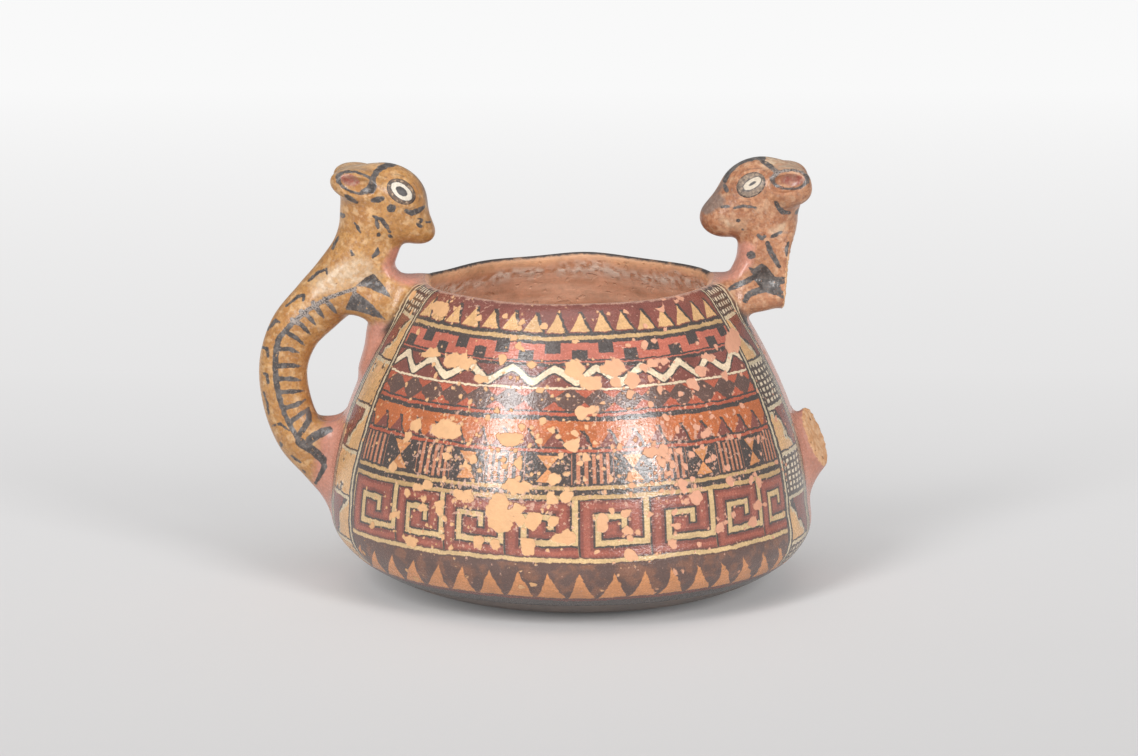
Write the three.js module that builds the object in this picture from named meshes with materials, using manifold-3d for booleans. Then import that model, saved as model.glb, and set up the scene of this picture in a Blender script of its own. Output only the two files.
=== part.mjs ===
// Fired and painted clay pot with two cats for handles: the left cat is whole, the right one is broken off
// behind its neck and at its foot. Millimetres, +Z up, front at -Y, origin at the middle of the underside.
// Every piece is one lump, roll or wall of clay as a potter forms it before joining it with wet slip.

import * as THREE from 'three';
import { mergeVertices } from 'three/addons/utils/BufferGeometryUtils.js';
import Module from 'manifold-3d';

const wasm = await Module();
wasm.setup();

// Vessel
const RIM_HEIGHT = 100;
const RIM_RADIUS = 47.5; // to the crest of the lip
const LIP_HEIGHT = 5;
const NECK_RADIUS = 53.5; // outside, where the lip coil sits
const BELLY_RADIUS = 79.3; // outside, at the widest
const BELLY_HEIGHT = 28;
const WALL_BEND = 1.8; // power of the curve from belly to neck
const BASE_RADIUS = 47; // flat resting circle
const BASE_THICKNESS = 7; // the wall stands on the base's edge at this height
const WALL = 6;
const FOOT_SEAM_RISE = 8; // above the base, where the lower wall stands on the foot
const BELLY_SEAM_RISE = 5; // above the widest place, where the middle wall stands on the lower one
const WALL_SEAM_HEIGHT = 50; // where the upper wall stands on the middle one

// Space left between two pieces of clay
const CLEARANCE = 0.3;

// Handle roll of the whole cat: distance out from the wall, height, half-thickness and half-width
const HANDLE_STATIONS = [
  { out: -13, height: 24, thick: 8, wide: 8.5 },
  { out: -3, height: 33, thick: 8, wide: 8.5 },
  { out: 4.2, height: 39.5, thick: 7.6, wide: 8 },
  { out: 12.2, height: 47.5, thick: 8.1, wide: 7.5 },
  { out: 20, height: 58.5, thick: 8, wide: 7 },
  { out: 26.5, height: 71, thick: 8, wide: 7 },
  { out: 28.8, height: 82.5, thick: 8.5, wide: 7.3 },
];

// Shoulder and neck of either cat: distance out from the rim's crest, rise above it and the same half-sizes
const NECK_STATIONS = [
  { out: 34.8, rise: -8.5, thick: 9.2, wide: 8 },
  { out: 26.5, rise: 0, thick: 10, wide: 8.6 },
  { out: 20.6, rise: 9, thick: 9.8, wide: 9 },
  { out: 17, rise: 19, thick: 10, wide: 9 },
];

// Heads: the middle of the skull out from the rim's crest and above it, and the muzzle from the skull
const SKULL_LENGTH = 29.6;
const SKULL_DEPTH = 24.8;
const SKULL_WIDTH = 22;
const MUZZLE_LENGTH = 19;
const MUZZLE_DEPTH = 14.6;
const MUZZLE_WIDTH = 16;
const LEFT_HEAD = { out: 14.5, rise: 26.5, skullTilt: 15, muzzleAhead: 8.8, muzzleDrop: 8, muzzleTilt: 18 };
const RIGHT_HEAD = { out: 15, rise: 28, skullTilt: 10, muzzleAhead: 10.4, muzzleDrop: 7.8, muzzleTilt: 8 };

// Ears and eyes: their places on the skull are given as sines along its length and depth
const EAR_LENGTH = 14.6;
const EAR_DEPTH = 8.6;
const EAR_THICKNESS = 7;
const EAR_CUP_DEPTH = 2.2;
const EAR_LIP = 1.4;
const EAR_PLACE = { forward: -0.66, up: 0.28 };
const EYE_LENGTH = 9.6;
const EYE_DEPTH = 7.4;
const EYE_THICKNESS = 4;
const EYE_PLACE = { forward: 0.4, up: 0.3 };

// Legs: stubby rolls from the body to the wall, one on each side
const FORELEG_DROP = 7.4; // below the rim
const FORELEG_DEPTH = 12.5;
const FORELEG_WIDTH = 9.6;
const FORELEG_START = 25; // out from the rim's crest
const HINDLEG_HEIGHT = 47.5;
const HINDLEG_DEPTH = 11;
const HINDLEG_WIDTH = 8.4;
const HINDLEG_START = 12; // out from the wall
const LEG_ROOT_DEPTH = 8; // where a leg leaves the body
const LEG_ROOT_WIDTH = 6;
const LEG_SINK = 4; // how far a leg's roll runs into the wall, before it is trimmed
const LEG_GAP = 1; // between the near and far leg

// Wad of clay that fills the corner between neck, legs and rim, from the throat to the lip
const CHEST_STATIONS = [
  { out: 16.5, rise: 5, thick: 4.5, wide: 7 },
  { out: 11, rise: 0, thick: 3.6, wide: 8 },
  { out: 4.5, rise: -2.5, thick: 3, wide: 8.6 },
];

// Breaks of the right handle
const NECK_BREAK_OUT = 24.3; // out from the rim's crest
const NECK_BREAK_LEAN = 9; // degrees that the break faces downwards
const STUB_HEIGHT = 43;
const STUB_LENGTH = 34;
const STUB_WIDTH = 18;
const STUB_REACH = 15; // out from the wall, before the break
const STUB_BREAK_OUT = 4.6;
const STUB_BREAK_TURN = 16; // degrees that the break faces towards the front
const STUB_BREAK_LEAN = 21; // degrees that it faces upwards

// Facets
const LATHE_SEGMENTS = 48;
const WALL_STEPS = 5;
const LOWER_STEPS = 3;
const LIP_STEPS = 8;
const ROLL_SIDES = 14;
const STEPS_PER_STATION = 3;
const LUMP_SIDES = 14;
const LUMP_RINGS = 10;
const SMALL_SIDES = 12;
const SMALL_RINGS = 7;

const NECK_HEIGHT = RIM_HEIGHT - LIP_HEIGHT;
const FOOT_SEAM_HEIGHT = BASE_THICKNESS + FOOT_SEAM_RISE;
const BELLY_SEAM_HEIGHT = BELLY_HEIGHT + BELLY_SEAM_RISE;
const LEFT = -1;
const RIGHT = 1;
const NEAR = -1;
const FAR = 1;
const MERGE_DISTANCE = 1e-4;

// Clay and slip colours
const BUFF_CLAY = 0xd29a5c;
const RED_SLIP = 0xc07a62;
const DARK_RED_SLIP = 0x8a4a3c;
const BLACK_SLIP = 0x3a3534;
const WHITE_SLIP = 0xe6d9bd;
const RAW_CLAY = 0xd8a06a;
const BURNISHED = 0.55;
const UNGLOSSED = 0.9;

function solidOf(geometry) {
  geometry.deleteAttribute('normal');
  geometry.deleteAttribute('uv');
  const merged = mergeVertices(geometry, MERGE_DISTANCE);
  const index = merged.index.array;
  const triangles = [];
  for (let i = 0; i < index.length; i += 3) {
    const [a, b, c] = [index[i], index[i + 1], index[i + 2]];
    if (a !== b && b !== c && c !== a) triangles.push(a, b, c);
  }
  const vertProperties = new Float32Array(merged.attributes.position.array);
  const triVerts = new Uint32Array(triangles);
  return new wasm.Manifold(new wasm.Mesh({ numProp: 3, vertProperties, triVerts }));
}

function geometryOf(solid) {
  const mesh = solid.getMesh();
  const geometry = new THREE.BufferGeometry();
  geometry.setAttribute('position', new THREE.BufferAttribute(mesh.vertProperties, mesh.numProp));
  geometry.setIndex(new THREE.BufferAttribute(mesh.triVerts, 1));
  geometry.computeVertexNormals();
  return geometry;
}

function carve(solid, ...cutters) {
  return cutters.reduce((rest, cutter) => rest.subtract(cutter), solid);
}

// Vessel wall: a quarter ellipse from the base to the belly, then a curve leaning in to the neck
function bowlRadius(height, floor, inset) {
  const fall = (BELLY_HEIGHT - height) / (BELLY_HEIGHT - floor);
  return BASE_RADIUS - inset + (BELLY_RADIUS - BASE_RADIUS) * Math.sqrt(Math.max(0, 1 - fall * fall));
}

function wallRadius(height, floor = 0, inset = 0) {
  if (height < BELLY_HEIGHT) return bowlRadius(height, floor, inset);
  const climb = (height - BELLY_HEIGHT) / (NECK_HEIGHT - BELLY_HEIGHT);
  return BELLY_RADIUS - inset - (BELLY_RADIUS - NECK_RADIUS) * climb ** WALL_BEND;
}

const outerRadius = (height) => wallRadius(height);
const innerRadius = (height) => wallRadius(height, BASE_THICKNESS, WALL);

function profile(radiusAt, from, to, steps) {
  const points = [];
  for (let i = 0; i <= steps; i += 1) {
    const height = from + ((to - from) * i) / steps;
    points.push(new THREE.Vector2(radiusAt(height), height));
  }
  return points;
}

// Bowl curve with its points spread evenly round the quarter ellipse
function bowlProfile(floor, inset, from, to) {
  const span = BELLY_HEIGHT - floor;
  const start = Math.acos((BELLY_HEIGHT - from) / span);
  const end = Math.acos((BELLY_HEIGHT - to) / span);
  const points = [];
  for (let i = 0; i <= WALL_STEPS; i += 1) {
    const height = BELLY_HEIGHT - span * Math.cos(start + ((end - start) * i) / WALL_STEPS);
    points.push(new THREE.Vector2(bowlRadius(height, floor, inset), height));
  }
  return points;
}

// Lip section: half a round, slanted inwards from the neck to the crest
function lipProfile(seat) {
  const middle = outerRadius(seat) - WALL / 2;
  const points = [];
  for (let i = 0; i <= LIP_STEPS; i += 1) {
    const angle = (Math.PI * i) / LIP_STEPS;
    const radius = middle + (WALL / 2) * Math.cos(angle) + (RIM_RADIUS - middle) * Math.sin(angle);
    points.push(new THREE.Vector2(radius, seat + (RIM_HEIGHT - seat) * Math.sin(angle)));
  }
  return points;
}

function turned(points) {
  const geometry = new THREE.LatheGeometry(points, LATHE_SEGMENTS);
  geometry.rotateX(Math.PI / 2);
  return solidOf(geometry);
}

function ring(outline) {
  return turned([...outline, outline[0].clone()]);
}

function baseEdge() {
  return bowlProfile(0, 0, 0, BASE_THICKNESS);
}

function baseDisc() {
  return turned([new THREE.Vector2(0, 0), ...baseEdge(), new THREE.Vector2(0, BASE_THICKNESS)]);
}

// Sides of the wall's rings from the base up, each a row of points on the outside or the inside
function footSide(floor, inset) {
  return bowlProfile(floor, inset, BASE_THICKNESS + CLEARANCE, FOOT_SEAM_HEIGHT);
}

function lowerSide(radiusAt, floor, inset) {
  const bowl = bowlProfile(floor, inset, FOOT_SEAM_HEIGHT + CLEARANCE, BELLY_HEIGHT);
  return [...bowl, ...profile(radiusAt, BELLY_HEIGHT, BELLY_SEAM_HEIGHT, LOWER_STEPS).slice(1)];
}

function middleSide(radiusAt) {
  return profile(radiusAt, BELLY_SEAM_HEIGHT + CLEARANCE, WALL_SEAM_HEIGHT, LOWER_STEPS);
}

function upperSide(radiusAt) {
  return profile(radiusAt, WALL_SEAM_HEIGHT + CLEARANCE, NECK_HEIGHT, WALL_STEPS);
}

function footWall() {
  return ring([...footSide(0, 0), ...footSide(BASE_THICKNESS, WALL).reverse()]);
}

function lowerWall() {
  return ring([...lowerSide(outerRadius, 0, 0), ...lowerSide(innerRadius, BASE_THICKNESS, WALL).reverse()]);
}

function middleWall() {
  return ring([...middleSide(outerRadius), ...middleSide(innerRadius).reverse()]);
}

function upperWall() {
  return ring([...upperSide(outerRadius), ...upperSide(innerRadius).reverse()]);
}

function rimCoil() {
  return ring(lipProfile(NECK_HEIGHT + CLEARANCE));
}

// The vessel as a full block, grown a little, which trims whatever is pressed against its outside
function vesselBlock() {
  const bowl = [...baseEdge(), ...footSide(0, 0), ...lowerSide(outerRadius, 0, 0)];
  const lean = [...middleSide(outerRadius), ...upperSide(outerRadius)];
  const lip = lipProfile(NECK_HEIGHT + CLEARANCE).slice(0, LIP_STEPS / 2 + 1);
  const grown = [...bowl, ...lean, ...lip].map((point) => new THREE.Vector2(point.x + CLEARANCE, point.y));
  const top = RIM_HEIGHT + CLEARANCE;
  return turned([
    new THREE.Vector2(0, 0),
    ...grown,
    new THREE.Vector2(RIM_RADIUS, top),
    new THREE.Vector2(0, top),
  ]);
}

// A roll of clay along a line of stations, each with its middle, half-thickness and half-width
function roll(stations, grow = 0) {
  const line = new THREE.CatmullRomCurve3(stations.map((station) => station.at));
  const sizes = new THREE.SplineCurve(stations.map(({ thick, wide }) => new THREE.Vector2(thick, wide)));
  const steps = STEPS_PER_STATION * (stations.length - 1);
  const geometry = new THREE.CylinderGeometry(1, 1, 1, ROLL_SIDES, steps);
  const position = geometry.attributes.position;
  const sideways = new THREE.Vector3(0, 1, 0);
  for (let i = 0; i < position.count; i += 1) {
    const along = position.getY(i) + 0.5;
    const across = new THREE.Vector3().crossVectors(line.getTangent(along), sideways).normalize();
    const size = sizes.getPoint(along);
    const point = line.getPoint(along);
    point.addScaledVector(across, position.getX(i) * (size.x + grow));
    point.addScaledVector(sideways, position.getZ(i) * (size.y + grow));
    position.setXYZ(i, point.x, point.y, point.z);
  }
  return solidOf(geometry);
}

// A rounded lump; tilt turns its long axis nose down on the side it faces
function lump({ at, length, width, depth, tilt = 0, sides = LUMP_SIDES, rings = LUMP_RINGS }, grow = 0) {
  const geometry = new THREE.SphereGeometry(1, sides, rings);
  geometry.rotateX(Math.PI / 2);
  geometry.scale(length / 2 + grow, width / 2 + grow, depth / 2 + grow);
  geometry.rotateY(tilt);
  geometry.translate(at.x, at.y, at.z);
  return solidOf(geometry);
}

// A block that takes away everything beyond a plane through a point
function beyond(point, direction) {
  const reach = 2 * BELLY_RADIUS;
  const geometry = new THREE.BoxGeometry(reach, reach, reach);
  geometry.translate(reach / 2, 0, 0);
  const turn = new THREE.Quaternion();
  turn.setFromUnitVectors(new THREE.Vector3(1, 0, 0), direction.clone().normalize());
  geometry.applyQuaternion(turn);
  geometry.translate(point.x, point.y, point.z);
  return solidOf(geometry);
}

// Places on either side, measured out from the wall or from the rim's crest
function fromWall(side, out, height) {
  return new THREE.Vector3(side * (outerRadius(height) + out), 0, height);
}

function fromRim(side, out, rise) {
  return new THREE.Vector3(side * (RIM_RADIUS + out), 0, RIM_HEIGHT + rise);
}

function rimStations(side, stations) {
  return stations.map(({ out, rise, thick, wide }) => ({ at: fromRim(side, out, rise), thick, wide }));
}

function wallStations(side, stations) {
  return stations.map(({ out, height, thick, wide }) => ({ at: fromWall(side, out, height), thick, wide }));
}

// Head: skull and muzzle in one lump, facing the vessel's axis
function skullShape(side, head) {
  return {
    at: fromRim(side, head.out, head.rise),
    length: SKULL_LENGTH,
    width: SKULL_WIDTH,
    depth: SKULL_DEPTH,
    tilt: -side * THREE.MathUtils.degToRad(head.skullTilt),
  };
}

function headSolid(side, head, grow = 0) {
  const skull = skullShape(side, head);
  const muzzle = {
    at: skull.at.clone().add(new THREE.Vector3(-side * head.muzzleAhead, 0, -head.muzzleDrop)),
    length: MUZZLE_LENGTH,
    width: MUZZLE_WIDTH,
    depth: MUZZLE_DEPTH,
    tilt: -side * THREE.MathUtils.degToRad(head.muzzleTilt),
  };
  return lump(skull, grow).add(lump(muzzle, grow));
}

// A point on the skull's skin, from its sines along the length and the depth
function onSkull(side, head, place, face) {
  const skull = skullShape(side, head);
  const aside = Math.sqrt(1 - place.forward ** 2 - place.up ** 2);
  const point = new THREE.Vector3(
    (-side * place.forward * skull.length) / 2,
    (face * aside * skull.width) / 2,
    (place.up * skull.depth) / 2,
  );
  point.applyAxisAngle(new THREE.Vector3(0, 1, 0), skull.tilt);
  return point.add(skull.at);
}

function ear(side, head, face) {
  const at = onSkull(side, head, EAR_PLACE, face);
  const tilt = skullShape(side, head).tilt;
  const whole = { at, length: EAR_LENGTH, width: EAR_THICKNESS, depth: EAR_DEPTH, tilt };
  const small = { sides: SMALL_SIDES, rings: SMALL_RINGS };
  const cup = {
    at: at.clone().add(new THREE.Vector3(0, (face * EAR_THICKNESS) / 2, 0)),
    length: EAR_LENGTH - 2 * EAR_LIP,
    width: 2 * EAR_CUP_DEPTH,
    depth: EAR_DEPTH - 2 * EAR_LIP,
    tilt,
  };
  return carve(lump({ ...whole, ...small }), lump({ ...cup, ...small }), headSolid(side, head, CLEARANCE));
}

function eye(side, head, face) {
  const at = onSkull(side, head, EYE_PLACE, face);
  const tilt = skullShape(side, head).tilt;
  const pellet = { at, length: EYE_LENGTH, width: EYE_THICKNESS, depth: EYE_DEPTH, tilt };
  return carve(lump({ ...pellet, sides: SMALL_SIDES, rings: SMALL_RINGS }), headSolid(side, head, CLEARANCE));
}

// Legs: rolls that swell from a root inside the body to full size, and end inside the wall before trimming
function leg(from, to, depth, width, face, grow = 0) {
  const station = (point, deep, across) => ({
    at: point.clone().add(new THREE.Vector3(0, (face * (across + LEG_GAP)) / 2, 0)),
    thick: deep / 2,
    wide: across / 2,
  });
  const middle = from.clone().lerp(to, 0.5);
  const root = station(from, LEG_ROOT_DEPTH, LEG_ROOT_WIDTH);
  return roll([root, station(middle, depth, width), station(to, depth, width)], grow);
}

function foreleg(side, face, grow = 0) {
  const start = fromRim(side, FORELEG_START, -FORELEG_DROP);
  const end = fromWall(side, -LEG_SINK, RIM_HEIGHT - FORELEG_DROP);
  return leg(start, end, FORELEG_DEPTH, FORELEG_WIDTH, face, grow);
}

function hindleg(side, face, grow = 0) {
  const start = fromWall(side, HINDLEG_START, HINDLEG_HEIGHT);
  const end = fromWall(side, -LEG_SINK, HINDLEG_HEIGHT);
  return leg(start, end, HINDLEG_DEPTH, HINDLEG_WIDTH, face, grow);
}

function stubLump(side) {
  const at = fromWall(side, 0, STUB_HEIGHT);
  return lump({ at, length: 2 * STUB_REACH, width: STUB_WIDTH, depth: STUB_LENGTH });
}

const vessel = vesselBlock();
const pieces = new THREE.Group();

function place(name, solid, color, roughness = BURNISHED) {
  const material = new THREE.MeshStandardMaterial({ color, roughness, metalness: 0 });
  const mesh = new THREE.Mesh(geometryOf(solid), material);
  mesh.name = name;
  pieces.add(mesh);
}

// Head, ears and eyes of one cat
function placeHead(prefix, side, head) {
  place(`${prefix}_head`, headSolid(side, head), BUFF_CLAY);
  for (const [word, face] of [['near', NEAR], ['far', FAR]]) {
    place(`${prefix}_${word}_ear`, ear(side, head, face), DARK_RED_SLIP);
    place(`${prefix}_${word}_eye`, eye(side, head, face), WHITE_SLIP);
  }
}

// Forelegs and chest wad of one cat, trimmed by its body, the vessel and any break
function placeForequarters(prefix, side, body, head, ...breaks) {
  const cuts = [vessel, body, ...breaks];
  place(`${prefix}_near_foreleg`, carve(foreleg(side, NEAR), ...cuts), BUFF_CLAY);
  place(`${prefix}_far_foreleg`, carve(foreleg(side, FAR), ...cuts), BUFF_CLAY);
  const legs = [foreleg(side, NEAR, CLEARANCE), foreleg(side, FAR, CLEARANCE)];
  const wad = roll(rimStations(side, CHEST_STATIONS));
  place(`${prefix}_chest`, carve(wad, ...cuts, ...legs, headSolid(side, head, CLEARANCE)), RED_SLIP);
}

function placeVessel() {
  place('base_disc', baseDisc(), BLACK_SLIP);
  place('foot_wall', footWall(), BLACK_SLIP);
  place('lower_wall', lowerWall(), DARK_RED_SLIP);
  place('middle_wall', middleWall(), DARK_RED_SLIP);
  place('upper_wall', upperWall(), RED_SLIP);
  place('rim_coil', rimCoil(), BLACK_SLIP);
}

function placeLeftCat() {
  const stations = [...wallStations(LEFT, HANDLE_STATIONS), ...rimStations(LEFT, NECK_STATIONS)];
  const body = roll(stations, CLEARANCE);
  place('left_cat_body', carve(roll(stations), vessel, headSolid(LEFT, LEFT_HEAD, CLEARANCE)), BUFF_CLAY);
  placeHead('left_cat', LEFT, LEFT_HEAD);
  placeForequarters('left_cat', LEFT, body, LEFT_HEAD);
  for (const [word, face] of [['near', NEAR], ['far', FAR]]) {
    place(`left_cat_${word}_hindleg`, carve(hindleg(LEFT, face), vessel, body), BUFF_CLAY);
  }
}

function placeRightCat() {
  const stations = rimStations(RIGHT, NECK_STATIONS);
  const body = roll(stations, CLEARANCE);
  const lean = THREE.MathUtils.degToRad(NECK_BREAK_LEAN);
  const neckBreak = beyond(fromRim(RIGHT, NECK_BREAK_OUT, 0), new THREE.Vector3(1, 0, -Math.tan(lean)));
  const head = headSolid(RIGHT, RIGHT_HEAD, CLEARANCE);
  place('right_cat_neck', carve(roll(stations), vessel, head, neckBreak), BUFF_CLAY);
  placeHead('right_cat', RIGHT, RIGHT_HEAD);
  placeForequarters('right_cat', RIGHT, body, RIGHT_HEAD, neckBreak);
}

function placeRightStub() {
  const turn = THREE.MathUtils.degToRad(STUB_BREAK_TURN);
  const lean = THREE.MathUtils.degToRad(STUB_BREAK_LEAN);
  const facing = new THREE.Vector3(1, NEAR * Math.tan(turn), Math.tan(lean));
  const broken = beyond(fromWall(RIGHT, STUB_BREAK_OUT, STUB_HEIGHT), facing);
  place('right_handle_stub', carve(stubLump(RIGHT), vessel, broken), RAW_CLAY, UNGLOSSED);
}

placeVessel();
placeLeftCat();
placeRightCat();
placeRightStub();

export default pieces;
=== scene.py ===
"""Fired clay pot with two painted cats for handles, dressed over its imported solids.

Shapes are worked out in millimetres, +Z up with the front at -Y, and become metres when a mesh is made.
"""

import math

import bpy
import numpy as np
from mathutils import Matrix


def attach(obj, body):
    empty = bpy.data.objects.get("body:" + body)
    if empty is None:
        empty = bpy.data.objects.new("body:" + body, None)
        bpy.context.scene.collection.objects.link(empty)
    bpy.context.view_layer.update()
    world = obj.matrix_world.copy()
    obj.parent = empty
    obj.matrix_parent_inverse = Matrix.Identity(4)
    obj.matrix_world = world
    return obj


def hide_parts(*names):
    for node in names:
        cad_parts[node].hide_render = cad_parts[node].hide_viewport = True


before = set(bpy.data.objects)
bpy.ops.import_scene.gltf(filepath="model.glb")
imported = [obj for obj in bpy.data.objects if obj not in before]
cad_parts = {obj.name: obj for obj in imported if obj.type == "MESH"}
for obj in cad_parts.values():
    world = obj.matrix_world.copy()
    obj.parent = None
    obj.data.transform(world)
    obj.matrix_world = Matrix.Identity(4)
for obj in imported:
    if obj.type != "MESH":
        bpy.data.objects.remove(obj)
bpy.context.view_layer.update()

MM = 0.001
LEFT = -1
RIGHT = 1
NEAR = -1
FAR = 1

# Vessel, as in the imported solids
RIM_HEIGHT = 100.0
RIM_RADIUS = 47.5
LIP_HEIGHT = 5.0
NECK_RADIUS = 53.5
NECK_HEIGHT = RIM_HEIGHT - LIP_HEIGHT
BELLY_RADIUS = 79.3
BELLY_HEIGHT = 28.0
WALL_BEND = 1.8
BASE_RADIUS = 47.0
BASE_THICKNESS = 7.0
WALL = 6.0

# What the hand made uneven: waves of the rim (degrees to the right of the front, half-width, rise), a foot
# set to one side, and a wall a little out of round (share, waves round the pot, start, height of a turn)
RIM_WAVES = [(0, 45, -0.5), (120, 35, 0.35), (174, 17, 1.45), (238, 16, -0.85)]
RIM_RIPPLE = (0.12, 7, 0.6)
WAVES_FROM = 70.0
BOWL_SWELL = 1.6
SWELL_HEIGHT = 18.0
SWELL_HALF = 7.0
FOOT_TUCK = 3.5
TUCK_HEIGHT = 12.0
FOOT_RIGHT = 3.2
FOOT_AHEAD = 3.0
OUT_OF_ROUND = 0.225
ROUND_WAVES = [(1.0, 2, 0.4, 45.0), (0.6, 3, -1.1, -30.0), (0.4, 7, 0.0, 11.0)]
ROUND_FROM = (3.0, 25.0)

# Mesh steps
WALL_COLUMNS = 440
BOWL_POINTS = 60
NECK_POINTS = 70
LIP_POINTS = 40
SHARP_ANGLE = 40.0
OUTER_ROW = 1.05
LIP_ROW = 0.7
INNER_ROW = 2.0
CLAY_STEP = 0.6
PROJECTIONS = 3

# Handle roll of the whole cat: distance out from the wall, height, half-thickness and half-width
HANDLE_STATIONS = [
    (-13, 24, 8, 8.5),
    (-3, 33, 8, 8.5),
    (4.2, 39.5, 7.6, 8),
    (12.2, 47.5, 8.1, 7.5),
    (20, 58.5, 8, 7),
    (26.5, 71, 8, 7),
    (28.8, 82.5, 8.5, 7.3),
]

# Shoulder and neck of either cat: distance out from the rim's crest, rise above it and the same half-sizes
NECK_STATIONS = [
    (34.8, -8.5, 9.2, 8),
    (26.5, 0, 10, 8.6),
    (20.6, 9, 9.8, 9),
    (17, 19, 10, 9),
]

# Heads: the middle of the skull out from the rim's crest and above it, its tilt, and the muzzle from it
SKULL = (28.0, 22.0, 24.4)
LEFT_HEAD = {
    "out": 12.7,
    "rise": 26.0,
    "tilt": 12,
    "muzzle": (17.2, 15.0, 11.0),
    "ahead": 8.3,
    "drop": 8.2,
    "muzzle_tilt": 26,
    "crest": ((-9.8, 4.0), (16.4, 23.0, 9.2)),
    "ear_lumps": [((-10.0, 4.1, 8.8), (16.8, 7.4, 9.4), 0.0)],
    "ear_cup": ((-9.6, 4.2, 12.4), (11.8, 5.0, 6.2)),
}
RIGHT_HEAD = {
    "out": 15,
    "rise": 28,
    "tilt": 10,
    "muzzle": (18.8, 16.0, 14.4),
    "ahead": 10.4,
    "drop": 6.9,
    "muzzle_tilt": 10,
    "crest": ((-8.4, 3.2), (15.0, 23.0, 8.8)),
    "ear_lumps": [((-8.6, 3.4, 8.8), (14.6, 7.2, 8.8), 0.0), ((-10.0, 0.4, 8.2), (12.4, 7.2, 9.0), 15.0)],
    "ear_cup": ((-8.7, 3.7, 12.4), (11.4, 5.0, 5.8)),
}

# Legs and the wad of clay between neck, legs and rim
FORELEG_DROP = {LEFT: 7.4, RIGHT: 5.6}
FORELEG_DEPTH = {LEFT: 12.5, RIGHT: 9.4}
FORELEG_WIDTH = 9.6
FORELEG_START = 25.0
FORELEG_LIFT = 1.6
HINDLEG_HEIGHT = 47.5
HINDLEG_DEPTH = 11.0
HINDLEG_WIDTH = 8.4
HINDLEG_START = 12.0
LEG_SINK = 4.0
LEG_GAP = 1.0
LEG_TAPER = 0.7
CHEST_STATIONS = {
    LEFT: [(13.4, 9, 4.2, 7), (13.2, 4, 3.4, 7.5), (10, -0.8, 3.4, 8), (4.5, -2.5, 3, 8.6)],
    RIGHT: [(13, 9.5, 4.8, 7), (10.8, 4.5, 4.2, 7.5), (8, 0.4, 3.6, 8), (4.5, -2, 3, 8.6)],
}
ARMPIT_STATIONS = [(2.5, 88, 4.5, 8), (1.3, 82.5, 3.9, 7.5), (-0.3, 77, 3, 7), (-1.8, 71, 2.6, 6)]

# Breaks of the right handle
NECK_BREAK_OUT = 23.5
NECK_BREAK_LEAN = 4.0
NECK_BREAK_CURVE = 0.012
NECK_BREAK_CURVE_FROM = 104.0
STUB_HEIGHT = 43.0
STUB_STATIONS = [(-13, 28.5, 8.5, 8.5), (-5, 36.5, 8.5, 8.5), (2.5, 44.5, 8.5, 8.5), (10, 52.5, 8.5, 8.5)]
STUB_BREAK_OUT = 6.2
STUB_BREAK_TURN = 16.0
STUB_BREAK_LEAN = 24.0
BREAK_EDGE = 1.2

# How clay was smeared from one piece to the next
WALL_FILLET = 5.0
CLAY_FILLET = 4.0
HEAD_FILLET = 5.0
BROKEN_NECK_FILLET = 3.0
EAR_FILLET = 4.0
CUP_EDGE = 0.9
FEATHER = 0.7
SUNK = 1.4
BREAK_GRAIN = 0.18

# Boxes in which the clay of the cats and the stub is shaped: low and high corners
LEFT_BOX = ((-107.0, -18.0, 12.0), (-40.0, 18.0, 145.0))
RIGHT_BOX = ((38.0, -18.0, 78.0), (86.0, 18.0, 147.0))
STUB_BOX = ((62.0, -20.0, 14.0), (100.0, 20.0, 72.0))

# Camera at the photograph's viewing angle
CAMERA_RISE = math.radians(10.8)
CAMERA_AWAY = 1200.0
AIM_HEIGHT = 66.7
CAMERA_BACK = CAMERA_AWAY * math.cos(CAMERA_RISE)
CAMERA_HIGH = AIM_HEIGHT + CAMERA_AWAY * math.sin(CAMERA_RISE)
LENS = 115.0
SENSOR = 36.0

# Colours of clay and slip, as a picture shows them in even light
MAROON = (124, 66, 56)
BRICK = (182, 98, 78)
FRET_RED = (154, 84, 68)
RED = (172, 84, 58)
DARK_RED = (110, 55, 45)
ORANGE = (182, 98, 50)
FANG_ORANGE = (204, 136, 84)
CREAM = (204, 172, 124)
ZIGZAG_CREAM = (224, 202, 170)
LINE_CREAM = (190, 154, 106)
STRIP_CREAM = (202, 184, 152)
NET_CREAM = (220, 202, 174)
NET_BROWN = (74, 58, 50)
BAR = (184, 120, 90)
BUFF = (210, 164, 112)
BLACK = (64, 55, 52)
BLACK_BROWN = (92, 66, 58)
BROWN_WORN = (132, 86, 62)
CHIP = (216, 166, 118)
CHIP_RED = (212, 152, 122)
RUBBED = (205, 160, 138)
# Pale film laid thinly over the wall and the cats: dust, and a painted sheen that greys the dark paints
DUST_AND_SHEEN = (200, 184, 174)
PINK_SLIP = (194, 134, 114)
INNER_CLAY = (236, 190, 160)
INNER_DARK = (216, 164, 132)
INNER_BROWN = (188, 126, 86)
SALT = (246, 228, 210)
OCHRE = (216, 162, 118)
RIM_PALE = (206, 160, 138)
BASE_BLACK = (98, 86, 80)
BASE_WORN = (118, 102, 93)
LEFT_SLIP = (186, 137, 80)
LEFT_DEEP = (158, 106, 54)
LEFT_PALE = (214, 176, 130)
RIGHT_SLIP = (184, 130, 94)
RIGHT_DEEP = (144, 88, 58)
RIGHT_PALE = (208, 166, 132)
INK = (64, 59, 58)
# Grey mottling laid on the ink as painted sheen
INK_SHEEN = (124, 118, 114)
# Pale specks laid on the ink as a painted highlight
INK_HIGHLIGHT = (182, 168, 158)
PALE_WASH = (214, 190, 160)
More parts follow.
